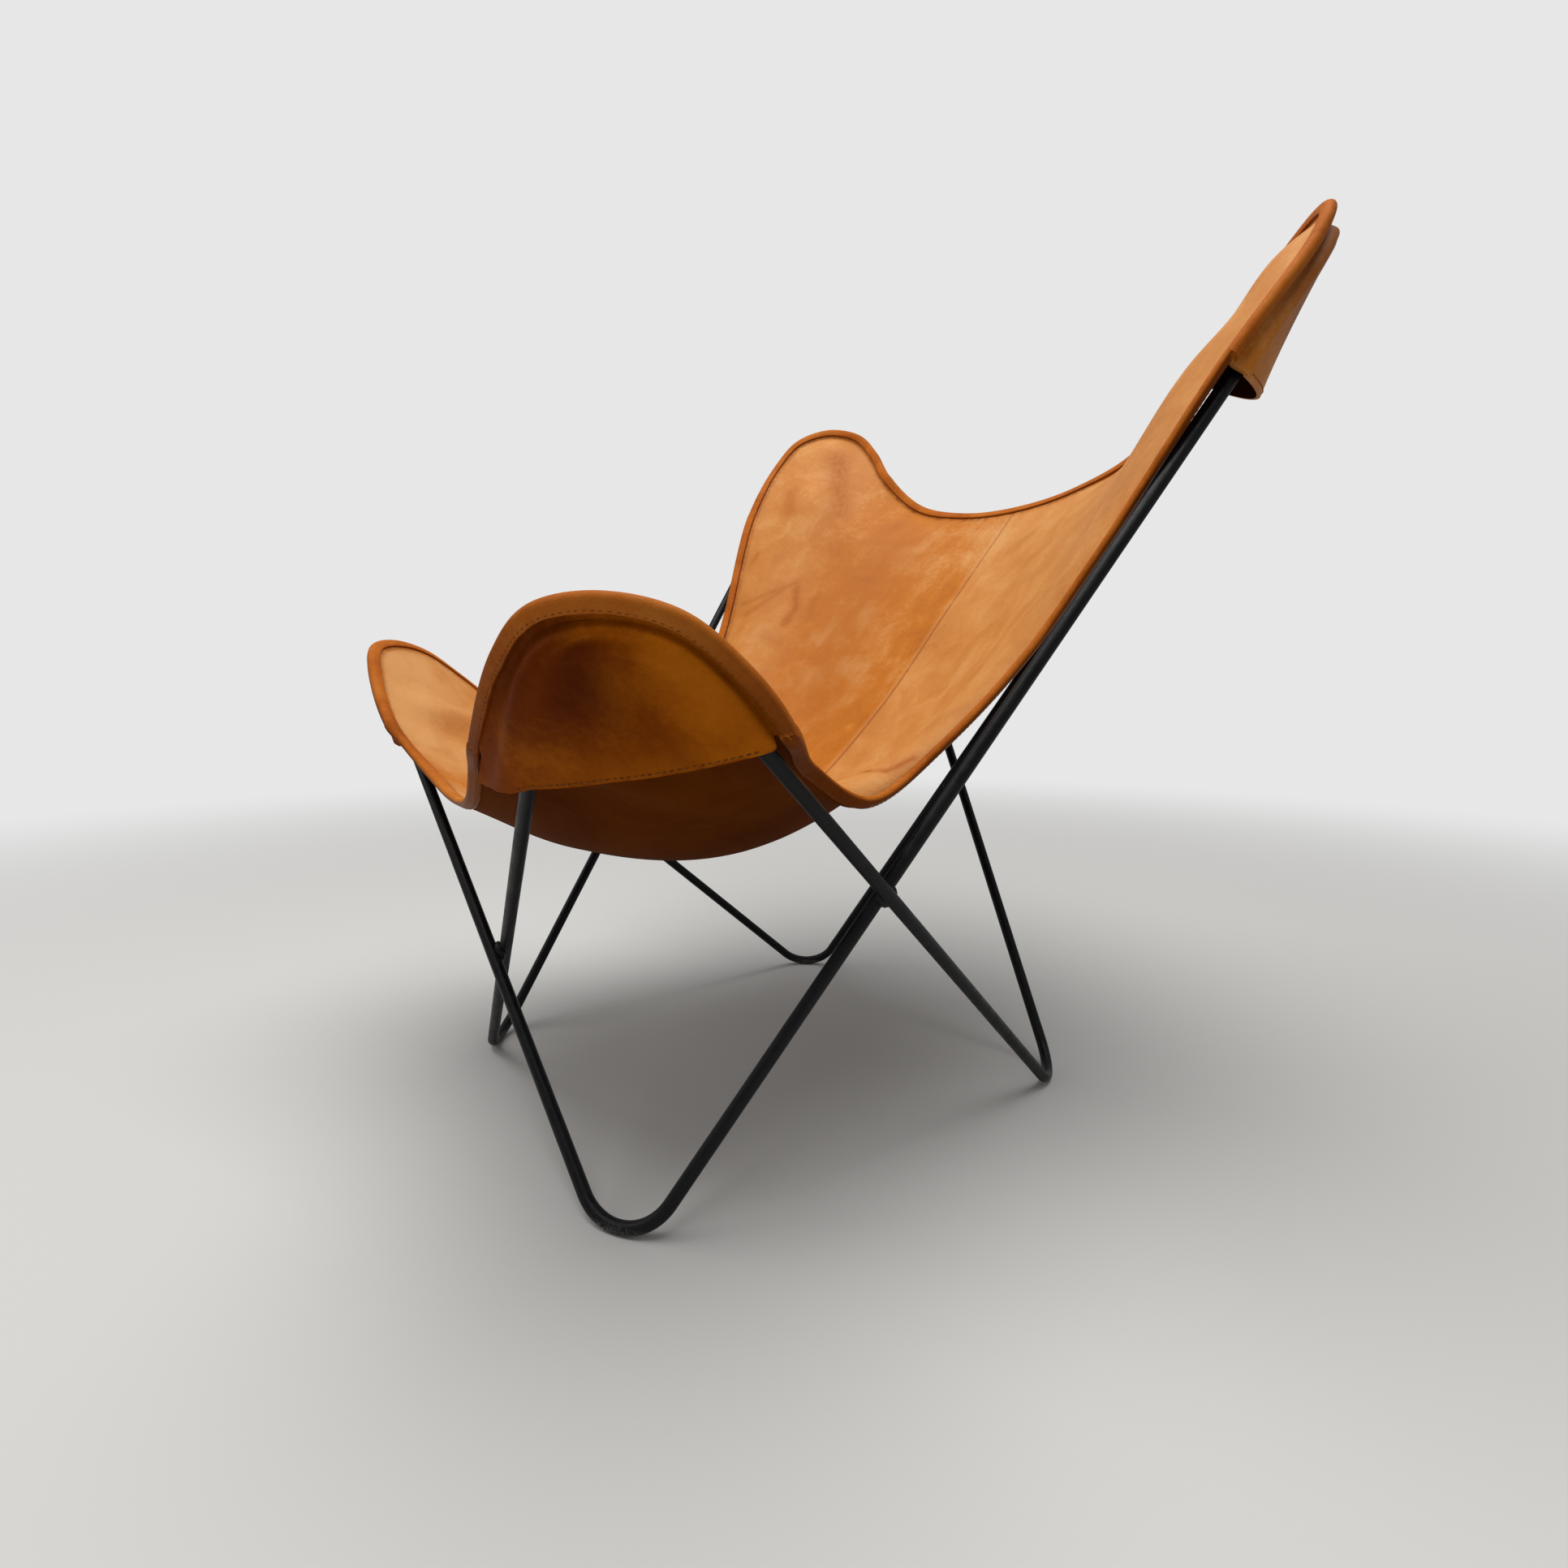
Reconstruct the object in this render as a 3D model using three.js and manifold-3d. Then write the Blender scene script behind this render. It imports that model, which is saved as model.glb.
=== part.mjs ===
// Butterfly sling chair: two bent steel rod loops, welded where they cross, that carry a leather sling
// by its four corner pockets. Millimetres, +Z up, the sitter faces -Y, left is the sitter's left at +X.
import * as THREE from 'three';
import { mergeVertices } from 'three/addons/utils/BufferGeometryUtils.js';
import Module from 'manifold-3d';

const wasm = await Module();
wasm.setup();

// Rod frame: corners of one loop where its straight legs would meet, before the bends are made.
// The loop runs front foot, front tip of the other side, back foot of the other side, back tip.
const ROD_D = 12;
const FRONT_FOOT = { x: 230, y: 0, bend: 50 };
const BACK_FOOT = { x: 237, y: 524, bend: 45 };
const FRONT_TIP = { x: 375, y: -85, z: 533, bend: 60 };
const BACK_TIP = { x: 454, y: 711, z: 986, bend: 62 };
// Depth of the flat that wears on the lowest point of each foot bend
const FOOT_FLAT = 0.5;
// Gap left between two crossing rods, and between a weld bead and the rods it joins
const CROSSING_GAP = 0.4;
const BEAD_GAP = 0.12;
// Weld bead: reach along the crossing and height along the common normal of the rods
const BEAD_REACH = 9;
const BEAD_HEIGHT = 5;

// Leather: thickness of the sling and pockets, thickness of the edge binding, gap between sewn pieces
const LEATHER_T = 3.5;
const BINDING_T = 1.6;
const SEWN_GAP = 0.35;
// Binding strip: how far it covers each face, and the flat border of the sling that it grips
const BINDING_LIP = 14;
const BORDER_W = BINDING_LIP + 2 * SEWN_GAP;
// Where a pocket stands over the rod, this far outside the rod's side
const POCKET_CLEAR = 4;
// How far the face of a front and of a back pocket swells outwards at the middle of its hem
const FRONT_SWELL = 13;
const BACK_SWELL = 24;
// How far inside the border a pocket turns up beside the rod
const TURN_IN = LEATHER_T / 2;
// Bulge of the sling towards the sitter between the legs of a back tip: its height, and its middle and
// width as shares of the way from front to back and from the seam out, with the shares it fades over
const WING = {
  bulge: 16,
  back: { middle: 0.88, width: 0.09, fade: 0.12 },
  out: { middle: 0.66, width: 0.22, fade: 0.25 },
};

// Rim of the sling round a tip. Along each leg the pocket ends at "reach" from the corner of the legs.
// "margin" is how far the rim stands outside the rod's side, "lean" how far it tips towards the sitter.
// "free" is the leg by the front or back edge, "side" the leg by the side edge of the sling; the bend
// between them starts at "freeBend", has its apex at "top" and ends at "sideBend".
const FRONT_RIM = {
  free: { reach: 238, margin: 44, lean: 18 },
  freeBend: { margin: 30, lean: 9 },
  top: { margin: 20, lean: 3 },
  sideBend: { margin: 21, lean: -4 },
  side: { reach: 190, margin: 20, lean: -4 },
};
const BACK_RIM = {
  free: { reach: 278, margin: 26, lean: 27 },
  freeBend: { margin: 19, lean: 20 },
  top: { margin: 20, lean: 12 },
  sideBend: { margin: 21, lean: 0 },
  side: { reach: 340, margin: 20, lean: 5 },
};

// Points of the sling between the pockets, on the left half, as shares of the frame: x out to the back
// tip, y from the front tip back to the back tip, z up to the back tip
const framePoint = ([x, y, z]) => vec(
  x * BACK_TIP.x,
  FRONT_TIP.y + y * (BACK_TIP.y - FRONT_TIP.y),
  z * BACK_TIP.z,
);
// Free edges: points of the rim, and the way that the leather runs out to the rim there
const FRONT_EDGE = [
  { at: [0, 0.0226, 0.3438], out: [0, -0.91, 0.41] },
  { at: [0.1652, 0.0176, 0.355], out: [-0.05, -0.92, 0.38] },
];
const SIDE_EDGE = [
  { at: [0.6718, 0.2726, 0.3895], out: [0.68, 0.54, 0.46] },
  { at: [0.63, 0.3643, 0.357], out: [0.85, 0.16, 0.5] },
  { at: [0.6344, 0.4648, 0.3915], out: [0.86, -0.3, 0.42] },
  { at: [0.696, 0.5817, 0.4909], out: [0.8, -0.5, 0.33] },
];
const BACK_EDGE = [
  { at: [0.4185, 0.9736, 0.7373], out: [-0.29, 0.45, 0.84] },
  { at: [0.2203, 0.9812, 0.7099], out: [-0.1, 0.64, 0.76] },
  { at: [0, 0.9824, 0.7018], out: [0, 0.62, 0.78] },
];
// Centre seam between the two halves, from front to back
const SEAM = [
  [0, 0.157, 0.289], [0, 0.2952, 0.2657], [0, 0.4083, 0.2738],
  [0, 0.5214, 0.3144], [0, 0.6721, 0.4178], [0, 0.8291, 0.5609],
];

// Mesh steps: along a bend, round a rod, from a pocket's end to its apex, along a free edge from the
// middle of the chair, along a side edge between pockets, across a pocket's face, rounds of smoothing
const BEND_STEPS = 8;
const ROD_SIDES = 16;
const TIP_STEPS = 7;
const FREE_STEPS = 7;
const SIDE_STEPS = 20;
const POCKET_STEPS = 4;
const SMOOTHING = 400;
// Share of the plate's pull that one round of smoothing takes up
const STIFFNESS = 0.4;
// Samples for each step when stations are spaced evenly along a curve
const SAMPLES = 20;
// Rounds that seat a foot on the floor
const SEAT_ROUNDS = 6;
// Distances under which points are one: in rods and welds, and in leather
const SAME_POINT = 1e-4;
const SAME_STITCH = 1e-3;
// Sides of a weld's ball, round and up, and of the rods that hollow it
const BALL_SIDES = [20, 12];
const BORE_SIDES = 24;
const BORE_LENGTH = 6 * BEAD_REACH;

// Place of the apex among the key points of a tip
const APEX_KEY = 3;
// Least cosine between a fold and its faces: a sharper fold is thinned rather than drawn out
const FOLD_LIMIT = 0.5;

const ROD_R = ROD_D / 2;
// Middle of the sling's leather where it lies against a rod, and of a pocket on the other side
const REST = ROD_R + SEWN_GAP + LEATHER_T / 2;
// The same for the border, which has a binding between the leather and the rod
const BOUND_REST = REST + BINDING_T + SEWN_GAP;

const vec = (x, y, z) => new THREE.Vector3(x, y, z);
const MIRROR = vec(-1, 1, 1);
const unit = (from, to) => to.clone().sub(from).normalize();
const along = (start, ...terms) => {
  const sum = start.clone();
  terms.forEach(([dir, k]) => sum.addScaledVector(dir, k));
  return sum;
};
const mix = (a, b, k) => a.clone().lerp(b, k);

// Bend of a given radius between the legs from a corner to two other points
function makeBend(corner, before, after, radius) {
  const legA = unit(corner, before);
  const legB = unit(corner, after);
  const half = legA.angleTo(legB) / 2;
  const down = legA.clone().add(legB).normalize();
  const across = legB.clone().sub(legA).normalize();
  const centre = along(corner, [down, radius / Math.sin(half)]);
  const sweep = Math.PI / 2 - half;
  const ways = (turn, k) => [[down, -k * Math.cos(turn)], [across, k * Math.sin(turn)]];
  const point = (turn) => along(centre, ...ways(turn, radius));
  const tangent = (turn) => along(vec(0, 0, 0), [down, Math.sin(turn)], [across, Math.cos(turn)]);
  return { corner, legA, legB, half, down, across, centre, sweep, point, tangent };
}

// Drops a foot's corner below the floor until its bend sinks by the worn flat into the floor
function seatFoot(foot, before, after, radius) {
  for (let i = 0; i < SEAT_ROUNDS; i += 1) {
    const bend = makeBend(foot, before, after, radius);
    const lowest = bend.centre.z - radius * Math.hypot(bend.down.z, bend.across.z);
    foot.z += ROD_R - FOOT_FLAT - lowest;
  }
}

// Corners of the loop whose back tip is on the given side: +1 left, -1 right
function loopCorners(side, spread, shift) {
  const y = -side * shift;
  const frontFoot = vec(side * FRONT_FOOT.x, FRONT_FOOT.y + y, 0);
  const frontTip = vec(-side * (FRONT_TIP.x + spread), FRONT_TIP.y + y, FRONT_TIP.z);
  const backFoot = vec(-side * (BACK_FOOT.x + spread), BACK_FOOT.y + y, 0);
  const backTip = vec(side * BACK_TIP.x, BACK_TIP.y + y, BACK_TIP.z);
  seatFoot(frontFoot, backTip, frontTip, FRONT_FOOT.bend);
  seatFoot(backFoot, frontTip, backTip, BACK_FOOT.bend);
  return { frontFoot, frontTip, backFoot, backTip };
}

// Common normal and nearest points of two straight legs
function crossing([p, pEnd], [q, qEnd]) {
  const u = unit(p, pEnd);
  const w = unit(q, qEnd);
  const normal = u.clone().cross(w).normalize();
  const span = q.clone().sub(p);
  const k = u.dot(w);
  const onP = (span.dot(u) - k * span.dot(w)) / (1 - k * k);
  const onQ = (k * span.dot(u) - span.dot(w)) / (1 - k * k);
  return { normal, u, w, gap: span.dot(normal), onP: along(p, [u, onP]), onQ: along(q, [w, onQ]) };
}

// The loops are spread until the side legs just clear each other, and shifted fore and aft until the
// front and the back legs do.
function placeLoops() {
  const reach = ROD_D + CROSSING_GAP;
  let left = loopCorners(1, 0, 0);
  let right = loopCorners(-1, 0, 0);
  const side = crossing([left.frontFoot, left.backTip], [right.frontTip, right.backFoot]);
  const outward = Math.sign(side.normal.x);
  const spread = (reach - outward * side.gap) / Math.abs(side.normal.x);
  left = loopCorners(1, spread, 0);
  right = loopCorners(-1, spread, 0);
  const front = crossing([left.frontFoot, left.frontTip], [right.frontFoot, right.frontTip]);
  const back = crossing([left.backFoot, left.backTip], [right.backFoot, right.backTip]);
  const shift = reach / 2 / Math.min(Math.abs(front.normal.y), Math.abs(back.normal.y));
  return { left: loopCorners(1, spread, shift), right: loopCorners(-1, spread, shift) };
}

// Centre line of a closed loop of legs and bends, sampled only where it turns
class BentLoop extends THREE.Curve {
  constructor(bends) {
    super();
    this.stations = bends.flatMap((bend) => {
      const turns = Array.from({ length: BEND_STEPS + 1 }, (_, i) => (2 * i) / BEND_STEPS - 1);
      return turns.map((k) => ({
        point: bend.point(k * bend.sweep),
        tangent: bend.tangent(k * bend.sweep),
      }));
    });
  }

  station(u) {
    return this.stations[Math.round(u * this.stations.length) % this.stations.length];
  }

  getPointAt(u, target = vec(0, 0, 0)) {
    return target.copy(this.station(u).point);
  }

  getTangentAt(u, target = vec(0, 0, 0)) {
    return target.copy(this.station(u).tangent);
  }
}

// Conversions between buffer geometry and boolean solids
function toSolid(geometry) {
  const bare = geometry.clone();
  bare.deleteAttribute('normal');
  bare.deleteAttribute('uv');
  const merged = mergeVertices(bare, SAME_POINT);
  const vertProperties = new Float32Array(merged.attributes.position.array);
  const triVerts = new Uint32Array(merged.index.array);
  return new wasm.Manifold(new wasm.Mesh({ numProp: 3, vertProperties, triVerts }));
}

function fromSolid(solid) {
  const mesh = solid.getMesh();
  const geometry = new THREE.BufferGeometry();
  geometry.setAttribute('position', new THREE.BufferAttribute(mesh.vertProperties, 3));
  geometry.setIndex(new THREE.BufferAttribute(mesh.triVerts, 1));
  return geometry;
}

// Closed mesh from rows of points and the quads between them; quads that a fold closes up drop out
function fromQuads(points, quads) {
  const geometry = new THREE.BufferGeometry();
  geometry.setAttribute('position', new THREE.Float32BufferAttribute(points.flatMap((p) => p.toArray()), 3));
  geometry.setIndex(quads.flatMap(([a, b, c, d]) => [a, b, c, a, c, d]));
  const merged = mergeVertices(geometry, SAME_STITCH);
  const index = Array.from(merged.index.array);
  const kept = [];
  for (let i = 0; i < index.length; i += 3) {
    const [a, b, c] = index.slice(i, i + 3);
    if (a !== b && b !== c && c !== a) {
      kept.push(a, b, c);
    }
  }
  merged.setIndex(kept);
  return merged;
}

// Mirrors left-hand geometry to the right side and turns its faces back out
function toSide(geometry, side) {
  if (side > 0) {
    return geometry;
  }
  geometry.scale(-1, 1, 1);
  const index = geometry.index.array;
  for (let i = 0; i < index.length; i += 3) {
    [index[i], index[i + 1]] = [index[i + 1], index[i]];
  }
  return geometry;
}

// Rod loop: one rod bent at two feet and two tips, with a worn flat under each foot
function rodLoop(c) {
  const path = new BentLoop([
    makeBend(c.frontFoot, c.backTip, c.frontTip, FRONT_FOOT.bend),
    makeBend(c.frontTip, c.frontFoot, c.backFoot, FRONT_TIP.bend),
    makeBend(c.backFoot, c.frontTip, c.backTip, BACK_FOOT.bend),
    makeBend(c.backTip, c.backFoot, c.frontFoot, BACK_TIP.bend),
  ]);
  const tube = new THREE.TubeGeometry(path, path.stations.length, ROD_R, ROD_SIDES, true);
  return fromSolid(toSolid(tube).trimByPlane([0, 0, 1], 0));
}

// Weld bead: a flattened ball at a crossing, hollowed by both rods
function weldBead(legP, legQ) {
  const x = crossing(legP, legQ);
  const middle = mix(x.onP, x.onQ, 0.5);
  const ball = new THREE.SphereGeometry(1, ...BALL_SIDES);
  const side = x.u.clone().add(x.w).normalize();
  const basis = new THREE.Matrix4().makeBasis(
    side.clone().multiplyScalar(BEAD_REACH),
    x.normal.clone().cross(side).multiplyScalar(BEAD_REACH),
    x.normal.clone().multiplyScalar(BEAD_HEIGHT),
  );
  ball.applyMatrix4(basis.setPosition(middle));
  const bore = (point, dir) => {
    const radius = (ROD_R + BEAD_GAP) / Math.cos(Math.PI / BORE_SIDES);
    const rod = new THREE.CylinderGeometry(radius, radius, BORE_LENGTH, BORE_SIDES);
    rod.applyQuaternion(new THREE.Quaternion().setFromUnitVectors(vec(0, 1, 0), dir));
    return toSolid(rod.translate(point.x, point.y, point.z));
  };
  return fromSolid(toSolid(ball).subtract(bore(x.onP, x.u)).subtract(bore(x.onQ, x.w)));
}

// Tip that carries a pocket, seen on the left half: its bend, from the free-edge leg to the side leg
function makeTip(corner, freeFoot, sideFoot, radius) {
  const flip = (p) => vec(Math.sign(corner.x) * p.x, p.y, p.z);
  const bend = makeBend(flip(corner), flip(freeFoot), flip(sideFoot), radius);
  const normal = bend.down.clone().cross(bend.across).normalize();
  const sitter = vec(0, (FRONT_TIP.y + BACK_TIP.y) / 2, BACK_TIP.z).sub(bend.corner);
  const outer = normal.multiplyScalar(sitter.dot(normal) < 0 ? 1 : -1);
  return { ...bend, outer };
}

// Point beside a tip's rod: "turn" runs round the bend, "leg" and "reach" run along a leg instead
function besideBend(tip, turn, margin, depth) {
  const away = unit(tip.centre, tip.point(turn));
  return along(tip.point(turn), [away, ROD_R + margin], [tip.outer, depth]);
}

function besideLeg(tip, leg, reach, margin, depth) {
  const sign = leg === tip.legA ? -1 : 1;
  const ways = [[tip.across, sign * Math.cos(tip.half)], [tip.down, -Math.sin(tip.half)]];
  const away = along(vec(0, 0, 0), ...ways);
  return along(tip.corner, [leg, reach], [away, ROD_R + margin], [tip.outer, depth]);
}

// Moves a point towards the sitter until it lies at least "rest" off the plane of each tip's rod
function keepOff(point, tips, rest) {
  tips.forEach((tip) => {
    const depth = point.clone().sub(tip.corner).dot(tip.outer);
    point.addScaledVector(tip.outer, Math.min(0, -rest - depth));
  });
  return point;
}

// Key lines round a tip, from the end of the pocket on the free edge to its end on the side edge: the
// rim, the inner line of the flat border, and the line where the pocket has risen over the rod.
function tipKeys(tip, rim) {
  const between = (a, b) => ({ margin: (a.margin + b.margin) / 2, lean: (a.lean + b.lean) / 2 });
  const bends = [
    [-1, rim.freeBend],
    [-0.5, between(rim.freeBend, rim.top)],
    [0, rim.top],
    [0.5, between(rim.top, rim.sideBend)],
    [1, rim.sideBend],
  ];
  const spots = [
    [rim.free, (margin, depth) => besideLeg(tip, tip.legA, rim.free.reach, margin, depth)],
    ...bends.map(([k, part]) => [part, (margin, depth) => besideBend(tip, k * tip.sweep, margin, depth)]),
    [rim.side, (margin, depth) => besideLeg(tip, tip.legB, rim.side.reach, margin, depth)],
  ];
  return spots.map(([part, spot]) => {
    const stand = ROD_R + part.margin;
    const kept = 1 - BORDER_W / Math.hypot(stand, part.lean);
    return {
      rim: spot(part.margin, -BOUND_REST - part.lean),
      border: spot(stand * kept - ROD_R, -BOUND_REST - part.lean * kept),
      over: spot(POCKET_CLEAR, REST),
    };
  });
}

// Key points of a free edge
function edgeKeys(edge) {
  return edge.map(({ at, out }) => {
    const rim = framePoint(at);
    return { rim, border: along(rim, [vec(...out).normalize(), -BORDER_W]) };
  });
}

// Curve through one line of the key points
const lineOf = (keys, line) => new THREE.CatmullRomCurve3(keys.map((key) => key[line]), false, 'centripetal');

// Curve parameters of evenly spaced stations on a run of steps from one key to another
function evenRun(curve, [from, to, steps]) {
  const last = curve.points.length - 1;
  const count = SAMPLES * steps;
  const fine = Array.from({ length: count + 1 }, (_, i) => (from + ((to - from) * i) / count) / last);
  const points = fine.map((u) => curve.getPoint(u));
  const length = [0];
  for (let i = 1; i <= count; i += 1) {
    length.push(length[i - 1] + points[i].distanceTo(points[i - 1]));
  }
  const stations = Array.from({ length: steps }, (_, k) => (k / steps) * length[count]);
  return stations.map((goal) => fine[length.findIndex((sum) => sum >= goal)]);
}

// Rim of the left or right half, from the middle of the front edge round both tips to the back edge.
// Each station has the rim, the inner line of its border, and its tangent, outward way and normal.
function makeRim(frontTip, backTip) {
  const front = tipKeys(frontTip, FRONT_RIM);
  const back = tipKeys(backTip, BACK_RIM).reverse();
  const edges = [FRONT_EDGE, SIDE_EDGE, BACK_EDGE].map(edgeKeys);
  const half = [...edges[0], ...front, ...edges[1], ...back, ...edges[2]];
  const flip = (key) => ({
    rim: key.rim.clone().multiply(MIRROR),
    border: key.border.clone().multiply(MIRROR),
  });
  const keys = [flip(half[1]), ...half, flip(half[half.length - 2])];
  const frontStart = 1 + FRONT_EDGE.length;
  const frontEnd = frontStart + front.length - 1;
  const backStart = frontEnd + 1 + SIDE_EDGE.length;
  const backEnd = backStart + back.length - 1;
  const end = keys.length - 2;
  const runs = [
    [1, frontStart, FREE_STEPS],
    [frontStart, frontStart + APEX_KEY, TIP_STEPS],
    [frontStart + APEX_KEY, frontEnd, TIP_STEPS],
    [frontEnd, backStart, SIDE_STEPS],
    [backStart, backStart + APEX_KEY, TIP_STEPS],
    [backStart + APEX_KEY, backEnd, TIP_STEPS],
    [backEnd, end, FREE_STEPS],
  ];
  const tips = [frontTip, backTip];
  const rimLine = lineOf(keys, 'rim');
  const borderLine = lineOf(keys, 'border');
  const params = [...runs.flatMap((run) => evenRun(rimLine, run)), end / (keys.length - 1)];
  const rest = (u) => {
    const key = u * (keys.length - 1);
    const free = key < frontStart || key > backEnd || (key > frontEnd && key < backStart);
    return free ? BOUND_REST : ROD_R;
  };
  const rim = params.map((u) => keepOff(rimLine.getPoint(u), tips, rest(u)));
  const border = params.map((u) => keepOff(borderLine.getPoint(u), tips, REST));
  return rim.map((point, i) => {
    const ahead = unit(rim[Math.max(i - 1, 0)], rim[Math.min(i + 1, rim.length - 1)]);
    const tangent = i === 0 || i === rim.length - 1 ? vec(Math.sign(ahead.x), 0, 0) : ahead;
    const outward = unit(border[i], point);
    const out = along(outward, [tangent, -tangent.dot(outward)]).normalize();
    const inner = along(point, [out, -BORDER_W]);
    return { rim: point, border: inner, out, tangent, normal: tangent.clone().cross(out) };
  });
}

// Bulge of a back tip: a hump over the sheet's two ways that fades to nothing at the border
function wing(t, v) {
  const hump = (x, { middle, width }) => Math.exp(-(((x - middle) / width) ** 2));
  const fade = (x, way) => Math.min(1, (1 - x) / way.fade);
  return WING.bulge * hump(t, WING.back) * fade(t, WING.back) ** 2 * hump(v, WING.out) * fade(v, WING.out);
}

// Middle surface of a half inside its border: blended from its four sides, with the sitter's hollow
// rounded across, then smoothed as a thin plate and kept clear of the rods of both tips.
function makeSurface(rim, tips) {
  const nv = FREE_STEPS + TIP_STEPS;
  const nt = 2 * TIP_STEPS + SIDE_STEPS;
  const front = rim.slice(0, nv + 1).map((s) => s.border);
  const side = rim.slice(nv, nv + nt + 1).map((s) => s.border);
  const back = rim.slice(nv + nt).map((s) => s.border).reverse();
  const seamPoints = [front[0], ...SEAM.map(framePoint), back[0]];
  const seam = new THREE.CatmullRomCurve3(seamPoints, false, 'centripetal').getSpacedPoints(nt);
  const grid = seam.map((middle, i) => front.map((_, j) => {
    const t = i / nt;
    const v = j / nv;
    const bow = v * v * (2 - v);
    const ruled = mix(middle, side[i], v).setZ(middle.z + (side[i].z - middle.z) * bow);
    const ends = mix(front[j], back[j], t);
    const flatFront = mix(front[0], front[nv], v).setZ(front[0].z + (front[nv].z - front[0].z) * bow);
    const flatBack = mix(back[0], back[nv], v).setZ(back[0].z + (back[nv].z - back[0].z) * bow);
    return ruled.add(ends).sub(mix(flatFront, flatBack, t));
  }));
  const at = (cells, i, j) => (j < 0 ? cells[i][-j].clone().multiply(MIRROR) : cells[i][j]);
  const pull = (cells, i, j) => {
    const near = [at(cells, i, j - 1), at(cells, i, j + 1), cells[i - 1][j], cells[i + 1][j]];
    return along(vec(0, 0, 0), ...near.map((p) => [p, 1 / near.length])).sub(cells[i][j]);
  };
  const inside = (i, j) => i > 0 && i < nt && j < nv;
  for (let round = 0; round < SMOOTHING; round += 1) {
    const still = vec(0, 0, 0);
    const first = grid.map((row, i) => row.map((_, j) => (inside(i, j) ? pull(grid, i, j) : still)));
    for (let i = 1; i < nt; i += 1) {
      for (let j = 1; j < nv; j += 1) {
        grid[i][j].addScaledVector(pull(first, i, j), -STIFFNESS);
        keepOff(grid[i][j], tips, REST);
      }
    }
  }
  const normals = gridNormals(grid, rim);
  return grid.map((row, i) => row.map((p, j) => along(p, [normals[i][j], -wing(i / nt, j / nv)])));
}

// Outward normals of a grid of points; the border line takes the normals of the rim's stations
function gridNormals(grid, rim) {
  const nt = grid.length - 1;
  const nv = grid[0].length - 1;
  return grid.map((row, i) => row.map((_, j) => {
    if (i === 0) {
      return rim[j].normal;
    }
    if (j === nv) {
      return rim[nv + i].normal;
    }
    if (i === nt) {
      return rim[rim.length - 1 - j].normal;
    }
    const ahead = unit(grid[i - 1][j], grid[i + 1][j]);
    const across = j === 0 ? vec(1, 0, 0) : unit(grid[i][j - 1], grid[i][j + 1]);
    return ahead.cross(across).normalize();
  }));
}

// Thickens a sheet given as points with normals and quads, with walls along its open outline
function thicken(points, normals, quads, outline) {
  const count = points.length;
  const faces = (sign) => points.map((p, i) => along(p, [normals[i], (sign * LEATHER_T) / 2]));
  const walls = outline.slice(0, -1).map((a, k) => {
    const b = outline[k + 1];
    return [a, b, b + count, a + count];
  });
  const inner = quads.map(([a, b, c, d]) => [c + count, b + count, a + count, d + count]);
  return fromQuads([...faces(1), ...faces(-1)], [...quads, ...inner, ...walls]);
}

// Half of the sling: the middle surface and its border, cut at the centre seam
function slingPanel(rim, grid) {
  const nt = grid.length - 1;
  const nv = grid[0].length - 1;
  const cols = nv + 1;
  const sheet = [...grid.flat(), ...rim.map((s) => s.rim)];
  const points = sheet.map((p) => p.clone().setX(Math.max(p.x, SEWN_GAP / 2)));
  const normals = [...gridNormals(grid, rim).flat(), ...rim.map((s) => s.normal)];
  const quads = [];
  for (let i = 0; i < nt; i += 1) {
    for (let j = 0; j < nv; j += 1) {
      const a = i * cols + j;
      quads.push([a, a + cols, a + cols + 1, a + 1]);
    }
  }
  const outer = grid.length * cols;
  const borderAt = (k) => {
    if (k <= nv) {
      return k;
    }
    return k <= nv + nt ? (k - nv) * cols + nv : nt * cols + (2 * nv + nt - k);
  };
  for (let k = 0; k < rim.length - 1; k += 1) {
    quads.push([borderAt(k), borderAt(k + 1), outer + k + 1, outer + k]);
  }
  const rimLine = rim.map((_, k) => outer + k);
  const seamLine = grid.map((_, i) => i * cols).reverse();
  return thicken(points, normals, quads, [...rimLine, ...seamLine, outer]);
}

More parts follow.
